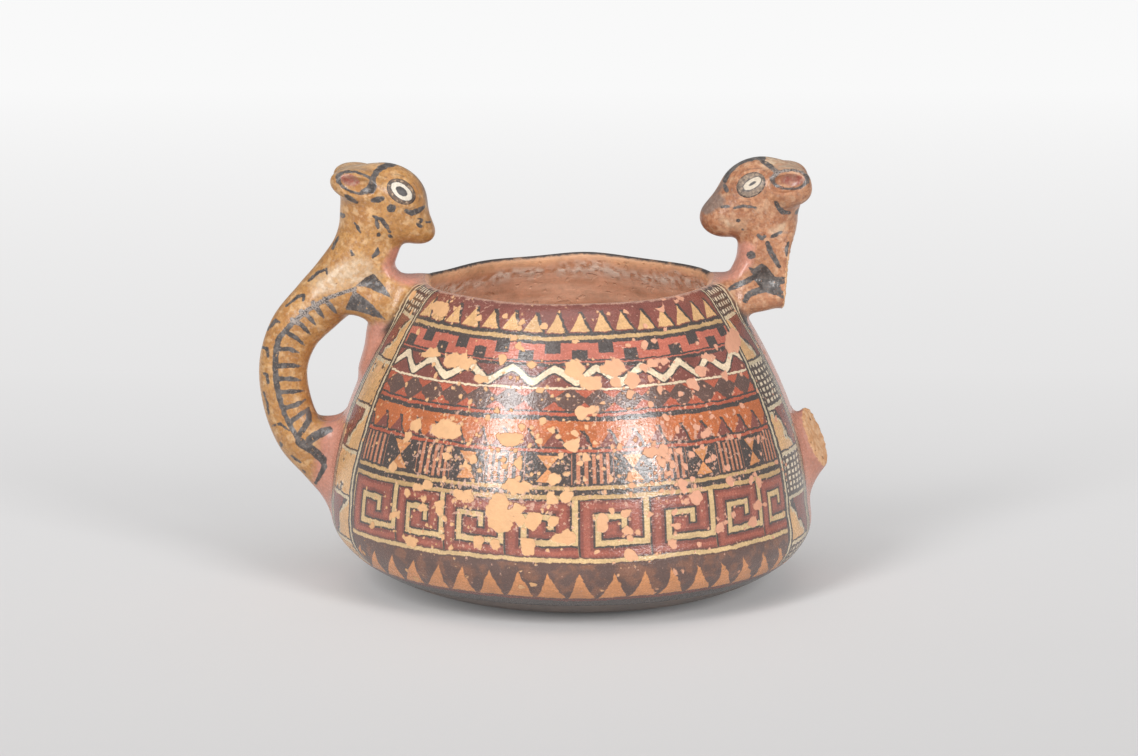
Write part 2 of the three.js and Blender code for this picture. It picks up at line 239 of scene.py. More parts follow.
# Grey laid along the front of each cat's face
FACE_GREY = (116, 104, 98)
PIT = (104, 70, 52)
EAR_RED = (150, 82, 68)
EAR_DUST = (170, 128, 108)
RAW = (204, 150, 106)
RAW_PALE = (222, 178, 138)
LID = (110, 92, 80)
LID_PALE = (178, 152, 126)
LID_GREY = (150, 134, 120)
EYE_WHITE = (214, 204, 188)
EYE_DIM = (184, 166, 142)

# Painted bands: marks are degrees from the front where one unit of a band begins, as the brush set them
MARKS = {
    "square_beat": [-66, -49.5, -35, -21, -5, 11.5, 26.6, 42.5, 58, 73],
    "zigzag_beat": [-68, -56, -44, -30, -16.5, -4, 8, 21.5, 34, 45, 57.5, 69],
    "fret_beat": [-76, -61, -44, -30, -15, 2, 18.6, 35.5, 51, 62.6, 76],
    "bar_beat": [-75, -56.5, -34, -16, 6, 25, 43, 59, 75],
}

# Levels at which the painted bands begin, from the base up
RED_LINE_LEVEL = 9.9
FANG_LEVEL = 10.9
FRET_LINE_LEVEL = 23.1
FRET_LEVEL = 25.3
BAR_LINE_LEVEL = 43.0
BAR_LEVEL = 47.8
SAW_LINE_LEVEL = 56.9
SAW_LEVEL = 58.4
DIAMOND_LINE_LEVEL = 66.5
DIAMOND_LEVEL = 69.4
ZIGZAG_LEVEL = 75.3
RIBBON_LINE_LEVEL = 83.2
RIBBON_LEVEL = 84.4
TOOTH_LINE_LEVEL = 89.3
TOOTH_LEVEL = 92.3
PAINT_TOP = 120.0
SLIP_FROM = 10.3
PINK_FROM = 10.0

# Plain lines between the bands: colour and two levels
BASE_LINES = [(BLACK, -20.0, RED_LINE_LEVEL), (DARK_RED, RED_LINE_LEVEL, FANG_LEVEL)]
FRET_LINES = [(CREAM, 23.6, 24.9)]
BAR_LINES = [(BLACK, 44.3, 46.0), (BLACK, 47.1, 48.2)]
SAW_LINES = [(RED, 57.3, 58.2)]
DIAMOND_LINES = [(RED, 67.9, 68.8)]
RIBBON_LINES = [(BRICK, 83.5, 83.9)]
TOOTH_LINES = [(LINE_CREAM, 90.3, 91.4)]

# Rows of teeth: degrees from one to the next, width of one, level of its foot, where its black stroke
# stands, leans and ends, and the left corner, tip, right corner and height of the tooth
RIM_TOOTH = {
    "every": 7.6,
    "unit": 7.0,
    "foot": 92.6,
    "stroke": 6.1,
    "lean": 0.46,
    "stroke_top": 5.6,
    "corners": (0.3, 3.2, 6.1, 5.2),
}
SAW_TOOTH = {
    "every": 6.5,
    "unit": 7.8,
    "foot": 58.9,
    "stroke": 6.6,
    "lean": 0.5,
    "stroke_top": 5.2,
    "corners": (0.6, 4.2, 6.4, 4.6),
}
TOOTH_STROKE_HALF = 0.75

# Stepped ribbon, zigzag and diamonds
RIBBON_UNIT = 15.5
UPPER_SQUARE_HALF = 2.3
UPPER_SQUARE_FROM = 86.3
LOWER_SQUARE_FROM = 5.5
LOWER_SQUARE_TO = 87.3
ZIGZAG_MIDDLE = 79.7
ZIGZAG_RISE = 2.1
ZIGZAG_HALF = 1.1
ZIGZAG_EDGE = 1.75
ZIGZAG_TOP = 82.5
ZIGZAG_LINE = (75.5, 76.1)
DIAMONDS = 8.0
DIAMOND_MIDDLE = 72.4
DIAMOND_WIDTH = 9.4
DIAMOND_SQUAT = 1.45
DIAMOND_REACH = 5.5

# Groups of bars with hourglasses between them
BAR_UNIT = 25.0
BAR_GROUP_HALF = 6.2
BARS_PER_MM = 0.46
BAR_START = 0.25
BAR_SHARE = (0.02, 0.5)
BAR_SOFT = 0.08
GLASS_MIDDLE = 52.3
GLASS_SLOPE = 0.8
GLASS_HALF = 4.0

# Square spirals as boxes (left, right, low, high), hung from a line above
FRET_WIDTH = 21.5
FRET_BOXES = [
    (FRET_WIDTH - 1.6, FRET_WIDTH, 3.5, 19.0),
    (5.2, FRET_WIDTH, 3.5, 5.1),
    (5.2, 6.8, 3.5, 13.0),
    (5.2, 14.5, 11.5, 13.0),
    (13.0, 14.5, 8.6, 13.0),
]
FRET_TOP = 17.9
FRET_RED_FROM = 1.6
FRET_RED_TO = 2.9
FRET_RED_SOFT = 0.6
FRET_EDGE = 0.7
FRET_CORE = 0.05

# Fangs over the base, upright on the left and leaning on the right
FANGS = 7.5
FANG_SPREAD = 0.014
FANG_FOOT = 11.2
FANG_UNIT = 9.4
FANG_START = 0.3
FANG_LEAN = 2.4
FANG_LEAN_GROWS = (0.05, 0.3)
FANG_TALL = 8.4
FANG_BEND = 0.7
FANG_LEFT = 0.5
FANG_LEFT_RUN = 3.7
FANG_RIGHT = 8.9
FANG_RIGHT_RUN = 4.2

# Upright strips beside the handles: degrees from the front, panels one above the other, lines from the edge
STRIP_FROM = 61.0
STRIP_TO = 80.0
STRIP_SOFT = 0.3
STRIP_FOOT = 12.0
STRIP_START = 18.7
STRIP_STEP = 14.4
STRIP_PANEL = (2.6, 15.0)
STRIP_BORDERS = [(0.2, 2.8), (14.8, 18.6)]
STRIP_LINES = [(1.1, 1.9), (15.6, 16.3), (17.2, 17.7)]
PANEL_CREAM = 1.1
PANEL_BLACK = (1.1, 1.7)
NET_ACROSS = 2.5
NET_UP = 1.9
DASH_ACROSS = 0.27
DASH_UP = 0.28
DASH_SOFT = 0.1
RUBBED_TOP = 88.0
SLANT_ACROSS = 0.8
SLANT_UP = 0.5
SLANT_SWAY = 7.0
SLANT_EDGE = 10.0
SLANT_CREAM = (9.6, 10.4)
SLANT_BLACK = (10.4, 11.2)
HANDLE_INK = (STRIP_TO - 0.6, STRIP_TO + 2.4)
HANDLE_INK_FROM = 83.0

# Rim, inside and wear: levels, and dots by the distance apart, the smallest and the largest
RIM_BLACK_FROM = 99.3
RIM_PALE_FROM = 99.75
INNER_BAND = (92.0, 96.4)
INNER_OCHRE_FROM = 96.6
SALT_BAND = (91.2, 95.2)
DOT_SIZES = [(5.0, 0.5, 2.4), (2.8, 0.3, 1.25), (1.6, 0.15, 0.65)]
CHIP_DEPTH = 0.16
SALT_RISE = 0.2
BRUSH_EDGE = 0.22
SPOT_RAGS = 1.2
SPOT_SHIFT = 0.75
SPOT_SOFT = 0.02
WALL_GLOSS = 0.9
BASE_TOP = 3.0
BACK_FROM = (88.0, 104.0)
INNER_SOFT = 0.4
FLAKE_REACH = 9.0

# Large chips, as the camera sees them on the upright plane through the axis: place and half-sizes
CHIPS = [
    (-45, 75, 4.0, 1.7), (-36, 72, 5.6, 2.7), (-12, 71, 2.3, 1.3), (-18, 67, 2.0, 1.3), (-29, 66, 2.0, 1.3),
    (-41, 49, 5.6, 3.7), (-51, 51, 2.0, 2.7), (-33, 56, 1.7, 1.7), (-9, 52, 1.7, 1.7), (-42, 90, 3.6, 3.0),
    (-16, 83, 1.3, 1.3), (-8, 84, 1.7, 1.3), (2, 70, 4.0, 3.0), (15, 70, 4.0, 3.0), (8, 65, 4.0, 2.7),
    (21, 66, 2.6, 2.7), (27, 71, 2.6, 1.7), (31, 72, 1.7, 1.3), (46, 74, 2.3, 1.7), (44, 69, 2.6, 1.7),
    (54, 79, 3.0, 4.4), (36, 93, 2.0, 1.3), (28, 79, 1.3, 1.0), (35, 78, 1.7, 1.3), (9, 81, 1.7, 1.0),
    (4, 55, 2.3, 2.3), (8, 56, 2.0, 1.3), (45, 48, 2.3, 2.0), (53, 47, 1.3, 1.3), (60, 46, 1.7, 1.3),
    (-20, 46, 4.3, 2.7), (-17, 30, 4.6, 2.7), (-5, 32, 2.6, 2.3), (-36, 27, 3.3, 2.3), (-50, 30, 1.7, 1.7),
    (-53, 12, 2.3, 2.3), (-24, 23, 4.0, 5.0), (-17, 22, 3.3, 2.7), (-12, 18, 3.3, 3.7), (-23, 18, 4.3, 3.7),
    (-30, 11, 2.0, 2.7), (-25, 10, 2.0, 2.7), (-14, 10, 3.0, 3.4), (-5, 18, 2.3, 2.3), (0, 13, 3.0, 3.0),
    (-4, 12, 2.3, 1.7), (-49, 23, 2.0, 1.7), (-47, 31, 2.6, 1.7), (3, 46, 1.7, 2.0), (11, 17, 1.7, 3.0),
    (19, 21, 2.0, 2.0), (20, 15, 2.0, 2.0), (27, 14, 1.7, 2.0), (34, 11, 2.0, 2.0), (39, 25, 1.7, 2.0),
    (36, 17, 1.9, 1.3), (50, 16, 1.7, 2.0), (63, 31, 1.3, 2.3), (63, 24, 1.7, 2.0), (61, 18, 1.7, 2.0),
    (27, 42, 3.0, 2.3), (31, 42, 2.0, 2.0), (33, 34, 1.7, 1.7), (25, 37, 1.7, 1.7),
]

# Where small chips crowd, on the same plane: place, half-sizes and share
WORN = [
    (-15, 33, 38, 24, 0.65), (-28, 20, 26, 13, 0.4), (38, 40, 26, 20, 0.75), (-44, 44, 18, 18, 0.5),
    (0, 66, 70, 30, 0.25), (-34, 93, 22, 9, 0.55),
]

# Brush strokes of the left cat on the same plane: half-width, bent line, and how broad its two ends are
LEFT_SPINE = [
    (-70, 96.8), (-82, 92.5), (-89.9, 86.4), (-95.5, 80.2), (-96.7, 76),
    (-96.9, 70.4), (-96.7, 65), (-95.2, 57.8), (-93.2, 52.4), (-89.9, 46.2),
]
MOUTH_STROKE = [
    (-49.2, 119.7), (-47.9, 119.5), (-48.9, 118.3), (-49.7, 118.2), (-49.4, 117.3), (-47.8, 117.2),
]
LEFT_STROKES = [
    (0.95, LEFT_SPINE, 0.6, 0.8),
    (0.55, [(-85.6, 99.2), (-82, 102.2), (-79.8, 103), (-79.4, 101.4)], 0.7, 0.6),
    (0.55, [(-92.9, 90.8), (-89, 94), (-87.2, 94.4), (-87.4, 92.4)], 0.7, 0.6),
    (0.6, [(-99.3, 82.9), (-96.6, 86), (-95.3, 85.4)], 0.6, 0.5),
    (0.5, [(-101.5, 77.1), (-99.6, 76.7), (-99.2, 74)], 0.6, 0.9),
    (0.5, [(-101.1, 68.3), (-99.7, 68), (-99.3, 65)], 0.6, 0.9),
    (0.4, [(-100.8, 62), (-99.8, 58), (-99.2, 54.3)], 0.6, 0.6),
    (0.45, [(-98.2, 50.6), (-95.5, 51.3), (-92.9, 49.2)], 0.6, 0.6),
    (0.5, [(-95.5, 44.9), (-95.2, 43.6)], 0.8, 0.8),
    (0.45, [(-92.2, 40.5), (-88.9, 38.2)], 0.6, 0.6),
    (0.4, [(-88.3, 35.5), (-87.6, 34.8)], 0.8, 0.8),
    (0.85, [(-80.3, 93.2), (-78, 90.4), (-76.4, 88.2)], 1.0, 0.3),
    (0.8, [(-84.2, 92), (-82.6, 89.6), (-80.5, 86.6)], 1.0, 0.3),
    (0.8, [(-88.2, 89), (-86, 87.6), (-83.4, 84.4)], 1.0, 0.3),
    (0.8, [(-91, 86.2), (-88, 84.4), (-85.2, 81.2)], 1.0, 0.3),
    (0.8, [(-93.8, 82.4), (-90.5, 80.6), (-87.1, 77.6)], 1.0, 0.3),
    (0.8, [(-96.6, 76.6), (-92, 76.4), (-89, 75.2)], 1.0, 0.3),
    (0.8, [(-97, 70.8), (-92, 70.9), (-88.4, 70.6)], 1.0, 0.3),
    (0.8, [(-96.9, 66.4), (-92, 66.4), (-88.4, 65.9)], 1.0, 0.3),
    (0.8, [(-95.8, 61.8), (-91.5, 62.2), (-87.5, 62.3)], 1.0, 0.3),
    (0.8, [(-94.4, 56.4), (-90.4, 57.6), (-87, 59.5)], 1.0, 0.3),
    (0.8, [(-92.4, 51.6), (-89.4, 54), (-86, 56.6)], 1.0, 0.5),
    (1.0, [(-86.3, 56.4), (-86, 52.5), (-89.3, 47.6)], 0.6, 0.9),
    (1.5, [(-85.6, 46), (-82.6, 48), (-79.2, 49.4)], 1.0, 0.7),
    (1.5, [(-89.3, 45.2), (-84, 41.6), (-81.6, 39)], 1.0, 0.9),
    (0.9, [(-82, 39.9), (-81, 36.9), (-84, 31.3)], 1.0, 0.6),
    (0.85, [(-73, 127.5), (-71.6, 126.4), (-69.4, 125.2)], 0.6, 0.6),
    (0.75, [(-74.6, 121.3), (-73.8, 120.6)], 0.8, 0.8),
    (0.5, [(-70.2, 118.4), (-69.2, 117), (-68.2, 115)], 0.6, 0.4),
    (0.5, [(-75.6, 113.8), (-76.6, 112), (-77.5, 109.9)], 0.5, 0.8),
    (1.0, [(-64.4, 125.9), (-62.6, 126), (-61, 126.4)], 0.6, 0.7),
    (1.45, [(-58.4, 123.2), (-57.9, 123.2)], 0.9, 0.9),
    (0.95, [(-53.2, 122.3), (-51.6, 121.6), (-49.4, 122.4), (-47.4, 123.8)], 0.8, 0.5),
    (0.4, MOUTH_STROKE, 1.0, 1.0),
    (0.4, [(-47, 118.6), (-45.4, 118.7)], 0.7, 0.7),
    (0.7, [(-64.2, 120.6), (-61.2, 119.4), (-59.7, 117.2), (-58.7, 115.4)], 0.6, 0.7),
    (0.7, [(-63, 119), (-62.6, 116.8)], 0.8, 0.6),
    (0.75, [(-62.5, 114.7), (-62.3, 114.4)], 0.9, 0.9),
    (0.6, [(-58.9, 114.2), (-58.2, 113.7)], 0.8, 0.8),
    (1.0, [(-57, 137.9), (-60, 137.3), (-62.6, 135.6), (-64, 133), (-64.3, 130.6), (-66, 129)], 0.8, 1.0),
    (0.9, [(-64.4, 131.6), (-65.4, 129.6), (-68, 128.5)], 1.0, 0.6),
]
LEFT_SHAPES = [
    [(-64.2, 101.8), (-66.6, 100.4), (-70.4, 97.4), (-67, 97.2), (-62, 95.2), (-57.9, 93.1), (-60.6, 97.4)],
    [
        (-70.8, 96), (-72, 93.4), (-73.6, 89.6), (-69, 89), (-64, 87.2), (-60.2, 86.1), (-64.6, 91.2),
        (-68.6, 94.6),
    ],
    [(-72.1, 109.9), (-71.2, 109.3), (-70, 107.4), (-71, 107.8), (-71.8, 106.3), (-71.6, 108)],
    [(-62.7, 110.6), (-62, 109.5), (-62.3, 107.9), (-64.3, 106.5), (-64.9, 107), (-63.8, 109)],
    [(-61.6, 136.2), (-60, 138.4), (-56.8, 138.1), (-58.6, 137.1)],
]
# Where the left cat's ink gets a painted highlight of pale specks: half-width and line
LEFT_INK_HIGHLIGHT = (2.2, LEFT_SPINE[:3])
INK_REACH = 4.0
STROKE_POINTS = 13
STROKE_SWELL = (0.0, 0.3, 0.65, 1.0)
LEFT_EAR = ((-69.5, 131.7), (6.2, 3.3), -17)
LEFT_EAR_RED = ((-71.7, 132.6), (3.2, 1.9), -17)
LEFT_FACE_GREY = [(1.0, [(-53.5, 138), (-50, 135.6), (-47.6, 131.8), (-46.2, 127.5), (-45.6, 124.5)])]
LEFT_BLUSH = [(2.6, [(-56.4, 107.5), (-58.4, 103.6), (-55, 101.2), (-50, 100)])]
LEFT_PALE_PATCHES = [
    [(-76.5, 135), (-76, 141), (-60, 141), (-62, 137.5), (-68, 136.3)],
    [(-84, 100), (-68, 108), (-62, 101), (-72, 97), (-84, 94)],
]

# The same for the right cat
RIGHT_STROKES = [
    (1.0, [(51, 132.4), (52.4, 135.8), (55, 138.2), (58.4, 139.6), (61.4, 140.1), (63.6, 139.6)], 0.8, 0.7),
    (0.75, [(62.8, 138.9), (65.6, 137.2), (68.2, 135)], 0.7, 0.9),
    (0.55, [(54, 123.3), (57, 124), (61.6, 123.3)], 0.7, 0.6),
    (0.5, [(50, 123.6), (52.5, 124)], 0.8, 0.8),
    (0.85, [(67.7, 125.1), (68.7, 123.2), (70, 121.9), (72.4, 121.8)], 0.8, 0.5),
    (0.55, [(74.3, 121.6), (75.3, 123)], 0.8, 0.5),
    (0.7, [(62, 114.3), (63.2, 113.3), (64.3, 114)], 0.9, 0.6),
    (0.7, [(66.3, 113.9), (67.8, 114.4), (69.6, 115.4)], 0.7, 0.6),
    (0.95, [(65, 111.8), (66.2, 108.6), (69, 103.9)], 0.8, 0.7),
    (0.65, [(72, 112), (71.3, 109.6), (71.4, 107.5)], 0.5, 0.5),
    (1.4, [(59.3, 107.8), (59.9, 107.7)], 0.9, 0.9),
    (0.6, [(55, 119.3), (55.6, 119.2)], 0.9, 0.9),
    (0.75, [(51, 130.6), (51.6, 129.2)], 0.9, 0.9),
    (0.4, [(56.7, 116.2), (57, 116.2)], 0.9, 0.9),
    (1.15, [(57.9, 92.6), (58.8, 94.4), (61.2, 95.6), (64, 96.5), (68, 95.6), (71.4, 94)], 0.8, 0.9),
    (0.95, [(61.2, 100.7), (58.2, 98.9), (55, 97.7), (52.6, 96.4)], 1.0, 0.7),
]
RIGHT_SHAPES = [
    [
        (58.7, 103.9), (60.6, 103.2), (63.2, 105), (65.4, 103.6), (67.8, 100.6), (71.9, 100.5), (71.9, 98.7),
        (69.4, 98), (69.8, 95.4), (68, 94.9), (63, 96.8), (61.4, 98.6), (60.4, 101),
    ],
]
# Where the right cat's ink gets a painted highlight of pale specks: half-width and line
RIGHT_INK_HIGHLIGHT = (1.5, [(66.5, 134.8), (71.5, 136), (76, 135.2)])
RIGHT_EAR = ((72.2, 132.7), (5.7, 3.1), 0)
RIGHT_EAR_RED = ((73, 132.6), (3.9, 1.9), 0)
RIGHT_FACE_GREY = [(2.4, [(45.2, 123.6), (48.6, 125.6)]), (0.8, [(47.5, 127.5), (50.6, 131.5)])]
RIGHT_BLUSH = [(2.9, [(57.6, 109), (57, 105.6), (54, 103), (46, 101)])]
RIGHT_PALE_PATCHES = [
    [(63, 137), (62, 141), (76, 141), (76, 136), (68, 136.2)],
    [(49.5, 120), (53, 119.4), (57.5, 118.6), (57, 116.4), (51.5, 117.6)],
    [(66, 115.4), (70.6, 118), (70.4, 115.8), (67, 114)],
]

# Eyes on the same plane: middle, half-sizes of lid, white ring and pupil, the ring's shift and the tilt
LEFT_EYE = {
    "at": (-54.9, 128.7),
    "lid": (5.5, 3.9),
    "ring": (3.9, 2.15),
    "pupil": (2.1, 1.2),
    "shift": 0.0,
    "tilt": -38,
    "dim": 0.0,
}
RIGHT_EYE = {
    "at": (59.5, 130.9),
    "lid": (5.3, 4.1),
    "ring": (3.2, 1.5),
    "pupil": (1.4, 0.42),
    "shift": 0.7,
    "tilt": 30,
    "dim": 0.6,
}
LID_LINE = 1.24
EAR_LINE = 0.42
EAR_FACE = 8.0
RAW_FADE = (108.0, 111.0)
EYE_RELIEF = 0.75
EYE_SINK = 0.2
EYE_DEEP = 1.0
EYE_RINGS = 14
EYE_COLUMNS = 48
LID_EDGE = 0.86

EYE_SEEK_FROM = 16.0
EYE_SEEK_STEP = 0.2
BREAK_SOFT = (-0.8, -0.4)

# Where pink slip and the wall's own paint lie on the cats: distances from the wall, levels and soft edges
BLUSH_REACH = (3.0, 9.0)
BLUSH_TOP = (84.0, 90.0)
BLUSH_EDGE = (-1.5, 2.0)
ON_WALL = (0.3, 2.2)

# All that is painted on each cat, and on the stub
LEFT_PAINT = dict(
    strokes=LEFT_STROKES,
    shapes=LEFT_SHAPES,
    highlit_ink=LEFT_INK_HIGHLIGHT,
    ear=LEFT_EAR,
    ear_red=LEFT_EAR_RED,
    eye=LEFT_EYE,
    blush=LEFT_BLUSH,
    smoke=LEFT_FACE_GREY,
    pale=LEFT_PALE_PATCHES,
)
RIGHT_PAINT = dict(
    strokes=RIGHT_STROKES,
    shapes=RIGHT_SHAPES,
    highlit_ink=RIGHT_INK_HIGHLIGHT,
    ear=RIGHT_EAR,
    ear_red=RIGHT_EAR_RED,
    eye=RIGHT_EYE,
    blush=RIGHT_BLUSH,
    smoke=RIGHT_FACE_GREY,
    pale=RIGHT_PALE_PATCHES,
)
STUB_PAINT = {**RIGHT_PAINT, "strokes": [], "shapes": [], "blush": [(30.0, [(76, 40), (76, 41)])]}

# Floor, lamps and world: lamps by turn, rise, size and power; ramps by slope and start
# The floor's front is painted darker as painted shade
FLOOR_FRONT_SHADE = (196, 195, 195)
FLOOR_MIDDLE = (250, 249, 249)
FLOOR_GLOW = (227, 226, 226)
FLOOR_FAR = (249, 249, 249)
FLOOR_BACK = 2.0
FLOOR_SIZE = 12.0
FLOOR_ROUGHNESS = 0.9
PAPER_RAMP = (2.0, 0.5)
FAR_RAMP = (0.8, -0.18)
GLOW_RAMP = (2.2, 0.2)
LAMP_AWAY = 1.3
LAMPS = {
    "left_lamp": (-34.0, 29.0, (0.3, 0.85), 11.5),
    "right_lamp": (37.0, 24.0, (0.36, 0.6), 9.2),
    "top_lamp": (0.0, 72.0, (0.9, 0.9), 2.5),
}
WORLD_COLOUR = (0.9, 0.9, 0.9, 1.0)
WORLD_STRENGTH = 0.34


def smooth(value, low, high):
    """0 below low, 1 above high and an even curve between."""
    part = np.clip((value - low) / (high - low), 0.0, 1.0)
    return part * part * (3.0 - 2.0 * part)


# Vessel shape


def wall_radius(height, floor=0.0, inset=0.0):
    """Radius of the wall at a height: a quarter ellipse up to the belly, then a curve in to the neck."""
    height = np.asarray(height, float)
    fall = np.clip((BELLY_HEIGHT - height) / (BELLY_HEIGHT - floor), 0.0, 1.0)
    bowl = BASE_RADIUS + (BELLY_RADIUS - BASE_RADIUS) * np.sqrt(1.0 - fall * fall)
    climb = np.clip((height - BELLY_HEIGHT) / (NECK_HEIGHT - BELLY_HEIGHT), 0.0, None)
    return bowl - (BELLY_RADIUS - NECK_RADIUS) * climb**WALL_BEND - inset


def side_line(floor, inset, start=None):
    """Points (radius, height) of the wall from its floor, or a start above it, to the neck."""
    span = BELLY_HEIGHT - floor
    first = 0.0 if start is None else math.acos((BELLY_HEIGHT - start) / span)
    turn = np.linspace(first, math.pi / 2, BOWL_POINTS)
    bowl_height = BELLY_HEIGHT - span * np.cos(turn)
    height = np.concatenate([bowl_height, np.linspace(BELLY_HEIGHT, NECK_HEIGHT, NECK_POINTS)[1:]])
    return np.stack([wall_radius(height, floor, inset), height], axis=1)


def lip_line():
    """Half a round from the outside of the neck over the crest to the inside, slanted inwards."""
    turn = np.linspace(0.0, math.pi, LIP_POINTS)
    middle = NECK_RADIUS - WALL / 2
    radius = middle + WALL / 2 * np.cos(turn) + (RIM_RADIUS - middle) * np.sin(turn)
    return np.stack([radius, NECK_HEIGHT + LIP_HEIGHT * np.sin(turn)], axis=1)


def respaced(line, step):
    """The same line with points an even step apart."""
    length = np.concatenate([[0.0], np.cumsum(np.hypot(*np.diff(line, axis=0).T))])
    places = np.linspace(0.0, length[-1], max(2, int(round(length[-1] / step)) + 1))
    return np.stack([np.interp(places, length, line[:, i]) for i in (0, 1)], axis=1)


def rim_wave(turn):
    """How much higher than even the rim is at an angle from the front."""
    degrees = np.degrees(turn)
    ripple, count, start = RIM_RIPPLE
    rise = ripple * np.sin(count * turn + start)
    for middle, half, height in RIM_WAVES:
        away = (degrees - middle + 180.0) % 360.0 - 180.0
        rise = rise + height * np.exp(-((away / half) ** 2))
    return rise


def out_of_round(turn, height):
    """Small swells of the wall, none at the flat base."""
    swell = 0.0
    for share, count, start, rise in ROUND_WAVES:
        swell = swell + share * np.sin(count * turn + start + height / rise)
    return OUT_OF_ROUND * swell * smooth(height, *ROUND_FROM)


def bowl_swell(height):
    """How far the bowl stands out above its foot, and draws in at the foot."""
    swell = BOWL_SWELL * np.exp(-(((height - SWELL_HEIGHT) / SWELL_HALF) ** 2))
    return swell - FOOT_TUCK * (1.0 - smooth(height, 0.0, TUCK_HEIGHT))


def foot_share(height):
    """How much of the foot's shift there is at a height below the belly."""
    return np.clip(1.0 - height / BELLY_HEIGHT, 0.0, 1.0)


def uneven(radius, turn, height):
    """Points (x, y, z) of the hand-built vessel from the even one's radius, angle and height."""
    swell = bowl_swell(height) * np.clip(radius / BASE_RADIUS, 0.0, 1.0)
    out = radius + swell + out_of_round(turn, height)
    lifted = height + rim_wave(turn) * smooth(height, WAVES_FROM, RIM_HEIGHT)
    x = out * np.sin(turn) + FOOT_RIGHT * foot_share(height)
    y = -out * np.cos(turn) - FOOT_AHEAD * foot_share(height)
    return np.stack([x, y, lifted], axis=-1)


def even(x, y, z):
    """Radius, angle and height in the even vessel of points given in the hand-built one."""
    x = x - FOOT_RIGHT * foot_share(z)
    y = y + FOOT_AHEAD * foot_share(z)
    turn = np.arctan2(x, -y)
    height = z - rim_wave(turn) * smooth(z, WAVES_FROM, RIM_HEIGHT)
    return np.hypot(x, y) - bowl_swell(height) - out_of_round(turn, height), turn, height


# Distance fields: negative inside the clay, in millimetres


class Block:
    """A box of evenly spaced points on which clay is shaped."""

    def __init__(self, low, high, step=CLAY_STEP):
        self.low = np.array(low, float)
        self.step = step
        counts = [int(math.ceil((b - a) / step)) + 1 for a, b in zip(low, high)]
        axes = [a + step * np.arange(n) for a, n in zip(low, counts)]
        self.x = axes[0][:, None, None]
        self.y = axes[1][None, :, None]
        self.z = axes[2][None, None, :]

    def sample(self, values, points):
        """Values at any points of the block, by straight lines between its own points."""
        place = (points - self.low) / self.step
        base = np.clip(np.floor(place).astype(int), 0, np.array(values.shape) - 2)
        part = place - base
        total = np.zeros(len(points))
        for corner in np.ndindex(2, 2, 2):
            weight = np.prod(np.where(corner, part, 1.0 - part), axis=1)
            total += weight * values[tuple((base + corner).T)]
        return total

    def slope(self, values, points):
        """Direction in which the values grow, at any points of the block."""
        parts = [self.sample(g, points) for g in np.gradient(values, self.step)]
        slope = np.stack(parts, axis=1)
        return slope / np.maximum(np.linalg.norm(slope, axis=1, keepdims=True), 1e-9)


def blended(a, b, reach):
    """Two fields joined with a fillet that reaches this far."""
    part = np.clip(0.5 + 0.5 * (b - a) / reach, 0.0, 1.0)
    return b * (1.0 - part) + a * part - reach * part * (1.0 - part)


def pressed(a, cutter, reach):
    """A field with another one pressed out of it, its edge rounded."""
    return -blended(-a, cutter, reach)


def lump(block, at, size, tilt=0.0):
    """A rounded lump of a full size, its long axis turned about Y by tilt degrees."""
    cos, sin = math.cos(math.radians(tilt)), math.sin(math.radians(tilt))
    dx, dy, dz = block.x - at[0], block.y - at[1], block.z - at[2]
    along = (cos * dx - sin * dz) / (size[0] / 2)
    up = (sin * dx + cos * dz) / (size[2] / 2)
    across = dy / (size[1] / 2)
    near = np.sqrt(along**2 + across**2 + up**2)
    steep = (along / size[0] * 2) ** 2 + (across / size[1] * 2) ** 2 + (up / size[2] * 2) ** 2
    return near * (near - 1.0) / np.sqrt(np.maximum(steep, 1e-12))


def smooth_line(stations, steps=16):
    """Many stations on a smooth curve through a few, all their numbers together."""
    knots = np.array(stations, float)
    knots = np.concatenate([[2 * knots[0] - knots[1]], knots, [2 * knots[-1] - knots[-2]]])
    part = np.linspace(0.0, 1.0, steps, endpoint=False)[:, None]
    pieces = []
    for a, b, c, d in zip(knots, knots[1:], knots[2:], knots[3:]):
        bend = (2 * a - 5 * b + 4 * c - d) * part**2 + (3 * b - a - 3 * c + d) * part**3
        pieces.append(b + 0.5 * ((c - a) * part + bend))
    return np.concatenate([*pieces, knots[-2:-1]])


def roll(block, stations, middle=0.0):
    """A roll of clay along stations (x, z, half-thickness, half-width) in an upright plane at y = middle."""
    line = smooth_line(stations)
    flat_x, flat_z = np.broadcast_arrays(block.x[:, 0, :], block.z[:, 0, :])
    best = np.full(flat_x.shape, np.inf)
    thick = np.zeros(flat_x.shape)
    wide = np.zeros(flat_x.shape)
    for a, b in zip(line, line[1:]):
        run = b[:2] - a[:2]
        part = ((flat_x - a[0]) * run[0] + (flat_z - a[1]) * run[1]) / run.dot(run)
        part = np.clip(part, 0.0, 1.0)
        away = np.hypot(flat_x - a[0] - part * run[0], flat_z - a[1] - part * run[1])
        closer = away < best
        best = np.where(closer, away, best)
        thick = np.where(closer, a[2] + part * (b[2] - a[2]), thick)
        wide = np.where(closer, a[3] + part * (b[3] - a[3]), wide)
    best, thick, wide = best[:, None, :], thick[:, None, :], wide[:, None, :]
    across = block.y - middle
    near = np.sqrt((best / thick) ** 2 + (across / wide) ** 2)
    steep = np.sqrt((best / thick**2) ** 2 + (across / wide**2) ** 2)
    return near * (near - 1.0) / np.maximum(steep, 1e-6)


